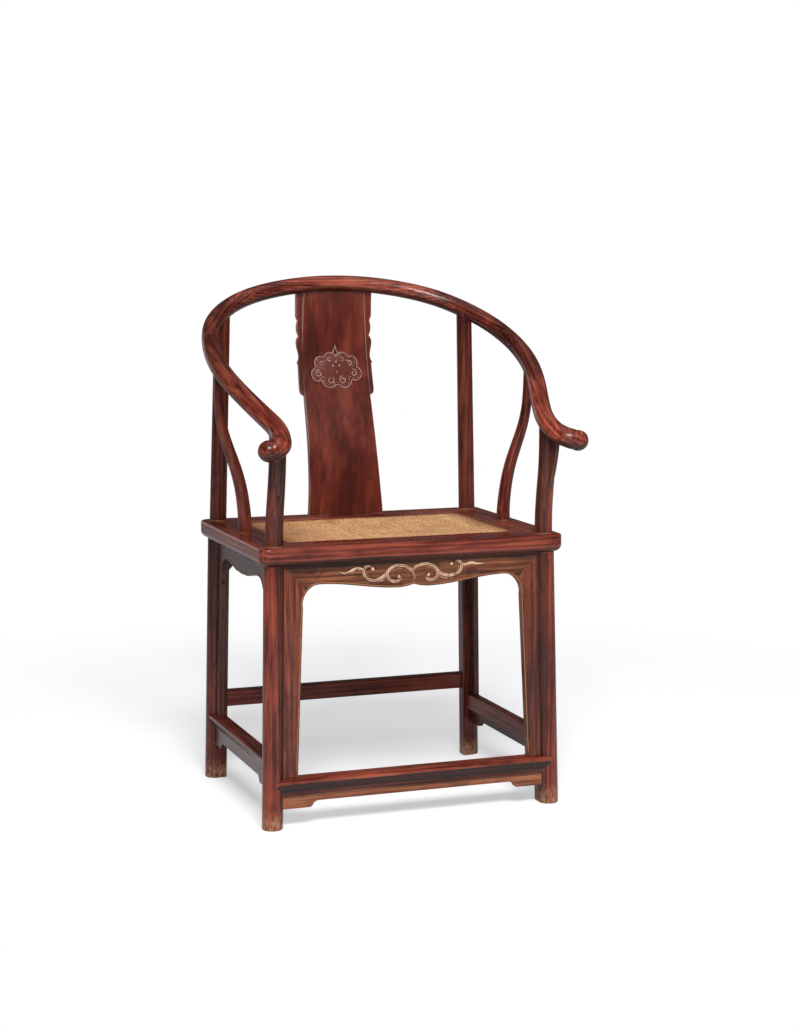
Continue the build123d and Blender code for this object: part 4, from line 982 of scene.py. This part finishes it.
@dataclass
class SplatMedallion:
    """Cloud-head medallion on the splat: lobed rim beads, whorls in the lobes and a bent tip."""

    centre: Point2 = (1.0, 803.0)
    lobes: Sequence[tuple[float, float, float]] = (
        (0.0, -4.0, 25.0), (15.5, -19.0, 15.5), (38.5, -7.0, 14.0), (32.0, 14.5, 13.0), (12.5, 22.0, 13.5))
    tip: Sequence[Point2] = ((-11.0, 835.5), (-5.0, 839.5), (-1.2, 846.0), (0.6, 857.0))
    tip_right: Sequence[Point2] = ((12.0, 835.0), (5.5, 839.0), (2.2, 846.5), (0.6, 857.0))
    steps: int = 110
    field_inset: float = 1.0  # in mm
    field_height: float = 0.5 * MM
    field_slope: float = 1.2 * MM
    beads: Sequence[Point2] = ((0.0, 1.5), (4.2, 1.0))  # insets and half widths, in mm
    bead_height: float = 1.3
    whorl_height: float = 1.1
    tip_width: float = 1.5 * MM
    boss_height: float = 0.9

    def rim(self, grow: float) -> list[Point2]:
        """Outline of the lobes, in metres, grown by a distance in mm."""
        cx, cz = self.centre
        circles = [(side * x, z, r + grow) for x, z, r in self.lobes for side in (-1, 1)]
        outline = []
        for i in range(self.steps):
            angle = math.tau * i / self.steps - math.pi / 2
            ux, uz = math.cos(angle), math.sin(angle)
            reach = 0.0
            for x, z, r in circles:
                along, beside_ray = x * ux + z * uz, x * uz - z * ux
                if abs(beside_ray) < r:
                    reach = max(reach, along + math.sqrt(r * r - beside_ray * beside_ray))
            outline.append(((cx + reach * ux) * MM, (cz + reach * uz) * MM))
        return outline

    def build(self) -> None:
        """Carve the medallion."""
        ground = Ground(["splat"], Facing.FRONT)
        field_carver = Carver(ground)
        field_carver.plate(self.rim(-self.field_inset), self.field_height, self.field_slope)
        fit_out(field_carver.seat("medallion_field"),
                CarvedWood("medallion_ground", (0.020, 0.005, 0.004), (0.070, 0.011, 0.006),
                           (0.098, 0.016, 0.008), slot="splat_wood", gloss=0.50))
        carver = Carver(ground)
        rims = [Stroke(self.rim(-inset), half_width * MM, closed=True) for inset, half_width in self.beads]
        carver.cut(rims, humps=1, height=self.bead_height)
        whorls = [whorl.stroke(self.centre, side) for side in (-1, 1) for whorl in WHORLS]
        tips = [Stroke(metres(path), self.tip_width, 0.5, 0.4) for path in (self.tip, self.tip_right)]
        carver.cut(whorls + tips, humps=1, height=self.whorl_height)
        cx, cz = self.centre
        for x, z, radius in BOSSES:
            carver.boss(((cx + x) * MM, (cz + z) * MM), radius * MM, self.boss_height)
        fit_out(carver.seat("cloud_medallion"),
                CarvedWood("medallion_wood", (0.006, 0.002, 0.002), (0.085, 0.018, 0.012), (0.33, 0.19, 0.15),
                           slot="splat_wood"))


@dataclass
class ArchBead:
    """Raised bead along the edge of one arch and down the inner edges of its stiles."""

    name: str
    nodes: Sequence[str]
    facing: Facing
    middle: Point2
    stile: float
    thickness: float
    foot: float
    tones: tuple[Triple, Triple, Triple]
    inset: float = 2.9 * MM
    half_width: float = 1.5 * MM
    steps: int = 220
    first_angle: float = -62.0
    turn: float = 304.0
    height: float = 0.75

    def build(self) -> None:
        """Lay the bead."""
        ground = Ground(self.nodes, self.facing)
        turns = [self.first_angle + self.turn * i / self.steps for i in range(self.steps + 1)]
        sweep = [math.radians(angle) for angle in turns]
        rim = [p for p in ground.rim(self.middle, self.stile, self.thickness, sweep) if p[1] > self.foot]
        line = beside(rim, -self.inset)
        carver = Carver(ground)
        bead = Stroke(line, self.half_width, 1.0, 1.0, smooth=False)
        carver.cut([bead], humps=1, height=self.height)
        groove, flank, top = self.tones
        fit_out(carver.seat(self.name), CarvedWood(f"{self.name}_wood", groove, flank, top))


# ---- seat
@dataclass
class CaneSeat:
    """Woven cane sheet, sagging a little in the middle, tucked under its edge strips."""

    sag: float = 4.5 * MM
    columns: int = 96
    rows: int = 68
    ripple: float = 0.35 * MM
    ripple_turns: Triple = (9.0, 3.0, 7.0)  # along the width, along the depth, and of its swell in depth

    def build(self) -> None:
        """Make the sheet."""
        low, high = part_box("cane_mat")
        middle, half = (low + high) / 2, (high - low) / 2
        sheet = bmesh.new()
        bmesh.ops.create_grid(sheet, x_segments=self.columns, y_segments=self.rows, size=1.0)
        wide, slant, deep = self.ripple_turns
        for vertex in sheet.verts:
            u, v = vertex.co.x, vertex.co.y
            hollow = (1.0 - u * u) * (1.0 - v * v)
            fade = (1 - u ** 4) * (1 - v ** 4)
            ripple = self.ripple * math.sin(u * wide + v * slant) * math.cos(v * deep) * fade
            height = high.z - self.sag * hollow + ripple
            vertex.co = (middle.x + u * half.x, middle.y + v * half.y, height)
        piece = make_object("cane_weave", sheet)
        solid = piece.modifiers.new("thickness", "SOLIDIFY")
        solid.thickness = half.z * 2
        solid.offset = -1.0
        fit_out(piece, WovenCane(half_width=half.x, half_depth=half.y, middle_y=middle.y), "cane_mat")


@dataclass
class PalmWebbing:
    """Interlaced palm cords under the cane."""

    pitch: float = 15.0 * MM
    radius: float = 1.25 * MM
    sag: float = 4.5 * MM
    lift_share: float = 0.62
    sides: int = 2

    def build(self) -> None:
        """Weave the cords."""
        low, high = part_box("palm_webbing")
        middle, half = (low + high) / 2, (high - low) / 2
        data = new_curve("palm_cords", dimensions="3D", bevel_depth=self.radius,
                         bevel_resolution=self.sides, use_fill_caps=True)
        for direction, (length, width) in enumerate(((half.x, half.y), (half.y, half.x))):
            lines = int(2 * width / self.pitch)
            count = 4 * int(2 * length / self.pitch)
            for i in range(lines):
                offset = -width + self.pitch * 0.5 + 2 * width * i / lines
                spline = data.splines.new("POLY")
                spline.points.add(count)
                for j, point in enumerate(spline.points):
                    run = -length + 2 * length * j / count
                    x, y = (run, offset) if direction == 0 else (offset, run)
                    lift = math.cos(math.pi * (j / 4.0 + i + direction)) * self.radius * self.lift_share
                    hollow = self.sag * (1.0 - (x / half.x) ** 2) * (1.0 - (y / half.y) ** 2)
                    point.co = (middle.x + x, middle.y + y, middle.z - hollow + lift, 1.0)
        woven = bmesh.new()
        add_curve(woven, data)
        fit_out(make_object("palm_cord_netting", woven), PalmCord(), "palm_webbing")


# ---- woodwork
Dressed = list[tuple[Rosewood, list[str]]]


def both(*kinds: str) -> list[str]:
    """Names of the left and right pieces of some kinds."""
    return [f"{kind}_{side}" for kind in kinds for side in ("left", "right")]


@dataclass
class Woodwork:
    """Finishes of the joined wooden pieces, each with the nodes that carry it."""

    seat_top: float = 0.5165
    seam: float = 0.2635  # where the front stiles meet the legs, outwards from the middle plane
    thin_wear: float = 0.7 * MM
    knot: Knot = Knot((-0.2655, -0.2116, 0.577), 0.0052)

    def rail(self) -> Dressed:
        """Crest rail and its arms; the arms' lighter tones stand partly for where hands rub them and partly
        for painted light on their upward faces.
        """
        return [
            (Rosewood("crest_back_wood", Grain.ACROSS, RAIL_TONES.scaled(1.25), ring_spacing=0.006),
             ["crest_rail_back"]),
            (Rosewood("left_shoulder_wood", Grain.RAIL_LEFT_SHOULDER, RAIL_TONES.scaled(0.55),
                      mottle_share=0.6, zones=(Zone("Z", 0.935, 0.965, 1.9),)), ["crest_rail_shoulder_left"]),
            (Rosewood("right_shoulder_wood", Grain.RAIL_RIGHT_SHOULDER, RAIL_TONES, mottle_share=0.8,
                      zones=(Zone("Z", 0.915, 0.880, 0.45),)), ["crest_rail_shoulder_right"]),
            (Rosewood("left_arm_wood", Grain.RAIL_LEFT_ARM, RAIL_TONES.scaled(1.2),
                      zones=(Zone("Z", 0.76, 0.85, 0.45),)), ["arm_rail_left"]),
            (Rosewood("right_arm_wood", Grain.RAIL_RIGHT_ARM, RAIL_TONES.scaled(1.4),
                      # the zone below the right hand is painted shade on its underside
                      zones=(Zone("Z", 0.785, 0.815, 0.32), Zone("Z", 0.712, 0.688, 0.60))),
             ["arm_rail_right"]),
        ]

    def posts(self) -> Dressed:
        """Legs and side posts."""
        seat = self.seat_top
        leg = Rosewood("knotty_leg_wood", Grain.UPRIGHT, LEG_TONES, worn_feet=True, highlight_ring_height=seat)
        side_post = replace(leg, worn_feet=False)
        # painted shade on the legs where the stiles meet them
        seam = Zone("X", self.seam + 0.003, self.seam, 0.40)
        return [
            (replace(leg, knot=self.knot, zones=(Zone("Z", seat, seat + 0.01, 0.75),
                                                 Zone("Z", 0.14, 0.05, 1.25), seam)), ["front_leg_left"]),
            (replace(leg, name="right_leg_wood", tones=LEG_TONES.scaled(0.92),
                     zones=(Zone("Z", 0.14, 0.05, 1.2), seam)), ["front_leg_right"]),
            # rear legs: a darker copy, with painted shade growing towards the seat above them
            (replace(leg, name="rear_leg_wood", tones=LEG_TONES.scaled(0.70),
                     zones=(Zone("Z", 0.20, 0.42, 0.55), Zone("Z", seat, seat + 0.01, 1.45))),
             both("rear_leg")),
            (replace(side_post, name="left_side_post_wood", grain=Grain.LEFT_SIDE_POST,
                     tones=LEG_TONES.scaled(0.7)), ["side_post_left"]),
            (replace(side_post, name="right_side_post_wood", grain=Grain.RIGHT_SIDE_POST,
                     tones=LEG_TONES.scaled(0.85)), ["side_post_right"]),
        ]

    def seat(self) -> Dressed:
        """Seat frame with its edge strips and braces, the stretchers and the splat."""
        return [
            (Rosewood("seat_frame_wood_long", Grain.ACROSS, SEAT_TONES),
             ["seat_rail_front", "seat_rail_rear", "cane_edge_strip_front", "cane_edge_strip_rear"]),
            (Rosewood("seat_frame_wood_deep", Grain.FRONT_TO_BACK, SEAT_TONES),
             both("seat_rail", "cane_edge_strip")),
            (Rosewood("brace_wood", Grain.FRONT_TO_BACK, DARK_TONES, gloss=0.5), both("seat_brace")),
            # painted shade under the footrest's nose
            (Rosewood("footrest_wood", Grain.ACROSS, SEAT_TONES.scaled(1.15), painted_underside_share=0.9,
                      zones=(Zone("Z", 0.076, 0.068, 0.35),)), ["footrest"]),
            (Rosewood("side_stretcher_wood", Grain.FRONT_TO_BACK, SEAT_TONES.scaled(0.7), painted_underside_share=0.9),
             both("side_stretcher")),
            (Rosewood("rear_stretcher_wood", Grain.ACROSS, SEAT_TONES.scaled(0.75)), ["rear_stretcher"]),
            # the splat's arrises take its light edge colour at full share: a painted highlight
            (Rosewood("splat_figure", Grain.UPRIGHT, SPLAT_TONES, slot="splat_wood", ring_share=0.02,
                      cloud_share=0.50, vein_share=0.25, mottle_share=0.22, streak_width=0.013,
                      arris_wear_and_highlight_share=1.0, arris_wear_and_highlight_width=0.0022, gloss=0.32), ["splat", *both("splat_flange")]),
        ]

    def boards(self) -> Dressed:
        """Aprons, stiles and spandrels, and the small pins."""
        # the apron: darker towards its ends, with painted shade round the carving and along its top under the
        # seat
        apron_zones = (Zone("X", 0.175, 0.225, 0.60), Zone("X", 0.135, 0.090, 0.66),
                       Zone("Z", 0.466, 0.478, 0.50))
        # painted shade on the stiles along their seam with the legs
        stile = Rosewood("front_stile_wood", Grain.UPRIGHT, STILE_TONES, arris_wear_and_highlight_width=self.thin_wear,
                         zones=(Zone("X", self.seam - 0.014, self.seam, 0.25), Zone("Z", 0.400, 0.450, 1.20)))
        return [
            (Rosewood("front_apron_wood", Grain.ACROSS, APRON_TONES.scaled(0.86), vein_share=0.55,
                      mottle_share=0.55, arris_wear_and_highlight_width=self.thin_wear, zones=apron_zones), ["front_apron"]),
            (stile, ["front_stile_left"]),
            (replace(stile, name="right_front_stile_wood", tones=STILE_TONES.scaled(0.78)),
             ["front_stile_right"]),
            (Rosewood("footrest_apron_wood", Grain.ACROSS, APRON_TONES), ["footrest_apron"]),
            (Rosewood("side_apron_wood", Grain.FRONT_TO_BACK, DARK_TONES),
             both("side_apron", "side_stretcher_apron")),
            (Rosewood("side_stile_wood", Grain.UPRIGHT, DARK_TONES),
             both("side_front_stile", "side_rear_stile", "arm_spandrel")),
            (Rosewood("rear_board_wood", Grain.ACROSS, DARK_TONES),
             ["rear_apron", "crest_rail_wedge_pins", "edge_strip_pegs"]),
        ]

    def build(self) -> None:
        """Put the finishes on the nodes."""
        for finish, nodes in self.rail() + self.posts() + self.seat() + self.boards():
            material = finish.make()
            for name in nodes:
                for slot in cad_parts[name].material_slots:
                    slot.material = material
                log.info("%s: %s", name, finish.name)


# ---- studio
@dataclass
class Softbox:
    """One soft lamp."""

    name: str
    place: Triple
    target: Triple
    size: Point2
    watts: float

    def build(self) -> None:
        """Hang the lamp."""
        lamp = bpy.data.lights.new(self.name, "AREA")
        lamp.shape = "RECTANGLE"
        lamp.size, lamp.size_y = self.size
        lamp.energy = self.watts
        aim = (Vector(self.target) - Vector(self.place)).to_track_quat("-Z", "Y")
        new_object(self.name, lamp).matrix_world = Matrix.Translation(self.place) @ aim.to_matrix().to_4x4()
        log.info("lamp %s", self.name)


WHITE = (1.0, 1.0, 1.0)
FLOOR_GRIME = Lumps((2.0, 2.0, 1.0))
FLOOR_STOPS = ((0.3, (0.80, 0.80, 0.81)), (0.7, (0.83, 0.83, 0.84)))


@dataclass
class Studio:
    """White floor, soft light and the camera."""

    floor_size: float = 16.0
    floor_lift: float = 0.35
    floor_middle: Triple = (0.15, 0.45, 0.0)
    floor_fade: Point2 = (0.45, 1.5)
    ambient: Triple = (0.29, 0.29, 0.30)
    dark_air: Triple = (0.06, 0.06, 0.065)
    panel_toward: Triple = (-0.33, 0.94, -0.02)
    panel_edge: Point2 = (0.93, 0.985)
    camera_place: Triple = (-1.3037, -3.7176, 1.0523)
    camera_yaw: float = -20.261
    camera_pitch: float = -6.947
    focal_pixels: float = 2070.5
    sensor_width: float = 36.0
    image: tuple[int, int] = (800, 1029)
    principal: Point2 = (412.13, 498.01)
    lamps: Sequence[Softbox] = (
        Softbox("key_softbox", (-0.7, -2.9, 3.1), (0.0, 0.0, 0.4), (1.5, 1.1), 152.0),
        Softbox("top_softbox", (0.2, -0.4, 3.2), (0.0, 0.0, 0.3), (2.6, 2.6), 18.0),
        Softbox("camera_softbox", (-1.75, -3.9, 1.45), (0.0, 0.0, 0.6), (0.45, 0.45), 16.0),
    )

    def build(self) -> None:
        """Set the studio up."""
        self.lay_floor()
        self.light_world()
        for lamp in self.lamps:
            lamp.build()
        self.set_camera()
        bpy.context.scene.view_settings.view_transform = "Standard"

    def lay_floor(self) -> None:
        """Pale floor that reads as white where it is fully lit."""
        mesh = bmesh.new()
        bmesh.ops.create_grid(mesh, x_segments=1, y_segments=1, size=self.floor_size / 2)
        floor = make_object("studio_floor", mesh, smooth=False)
        bench = Bench.for_material("floor_paint")
        shade = bench.ramp(bench.noise(bench.place(), FLOOR_GRIME), FLOOR_STOPS)
        paint = bench.tap("BsdfDiffuse", 0, {"Color": shade})
        seen = bench.tap("LightPath", "Is Camera Ray", {})
        lift = bench.tap("Emission", 0, {"Color": WHITE, "Strength": seen * self.floor_lift})
        lit = bench.tap("AddShader", 0, {0: paint, 1: lift})
        far = (bench.place() - self.floor_middle).length().step(*self.floor_fade)
        white = bench.tap("Emission", 0, {"Color": WHITE, "Strength": 1.0})
        faded = bench.tap("MixShader", 0, {0: far * seen, 1: lit, 2: white})
        bench.node("OutputMaterial", {"Surface": faded})
        floor.data.materials.append(bench.material)

    def light_world(self) -> None:
        """White to the camera, soft grey as light, and dark in gloss but for one panel behind the chair."""
        world = bpy.data.worlds.new("studio_air")
        bpy.context.scene.world = world
        bench = Bench(world)
        camera, glass, glossy = (bench.tap("LightPath", f"Is {ray} Ray", {})
                                 for ray in ("Camera", "Transmission", "Glossy"))
        panel = bench.tap("TexCoord", "Generated", {}).dot(self.panel_toward).step(*self.panel_edge)
        air = bench.mix(glossy, self.ambient, self.dark_air)
        seen = bench.maths("MAXIMUM", camera, glass)
        air = bench.mix(bench.maths("MAXIMUM", seen, glossy * panel), air, WHITE)
        bench.node("OutputWorld", {"Surface": bench.tap("Background", 0, {"Color": air})})

    def set_camera(self) -> None:
        """Stand the camera at eye height, a little left of the chair."""
        width, height = self.image
        longest = max(width, height)
        data = bpy.data.cameras.new("studio_camera")
        data.sensor_width = self.sensor_width
        data.lens = self.focal_pixels / longest * data.sensor_width
        data.shift_x = (width / 2 - self.principal[0]) / longest
        data.shift_y = (self.principal[1] - height / 2) / longest
        camera = new_object("studio_camera", data)
        camera.location = self.camera_place
        camera.rotation_euler = (math.radians(90 + self.camera_pitch), 0.0, math.radians(self.camera_yaw))
        bpy.context.scene.camera = camera


def main() -> None:
    """Dress the chair and set up the studio."""
    logging.basicConfig(level=logging.INFO, format="%(name)s: %(message)s")
    Woodwork().build()
    CaneSeat().build()
    PalmWebbing().build()
    ApronCarving().build()
    SplatMedallion().build()
    warm = ((0.022, 0.007, 0.004), (0.14, 0.045, 0.022), (0.29, 0.115, 0.050))
    # the side beads' darker colours are painted shade
    dark = ((0.014, 0.006, 0.005), (0.060, 0.018, 0.013), (0.17, 0.075, 0.052))
    front = ["front_apron", "front_stile_left", "front_stile_right"]
    ArchBead("front_arch_bead", front, Facing.FRONT, middle=(0.0, 0.27), stile=0.235, thickness=0.010,
             foot=0.096, tones=warm).build()
    for side, facing, sign in (("left", Facing.LEFT, -1), ("right", Facing.RIGHT, 1)):
        nodes = [f"side_apron_{side}", f"side_front_stile_{side}", f"side_rear_stile_{side}"]
        ArchBead(f"side_arch_bead_{side}", nodes, facing, middle=(0.010 * sign, 0.29), stile=0.168,
                 thickness=0.009, foot=0.134, tones=dark).build()
    Studio().build()


if __name__ == "__main__":
    main()
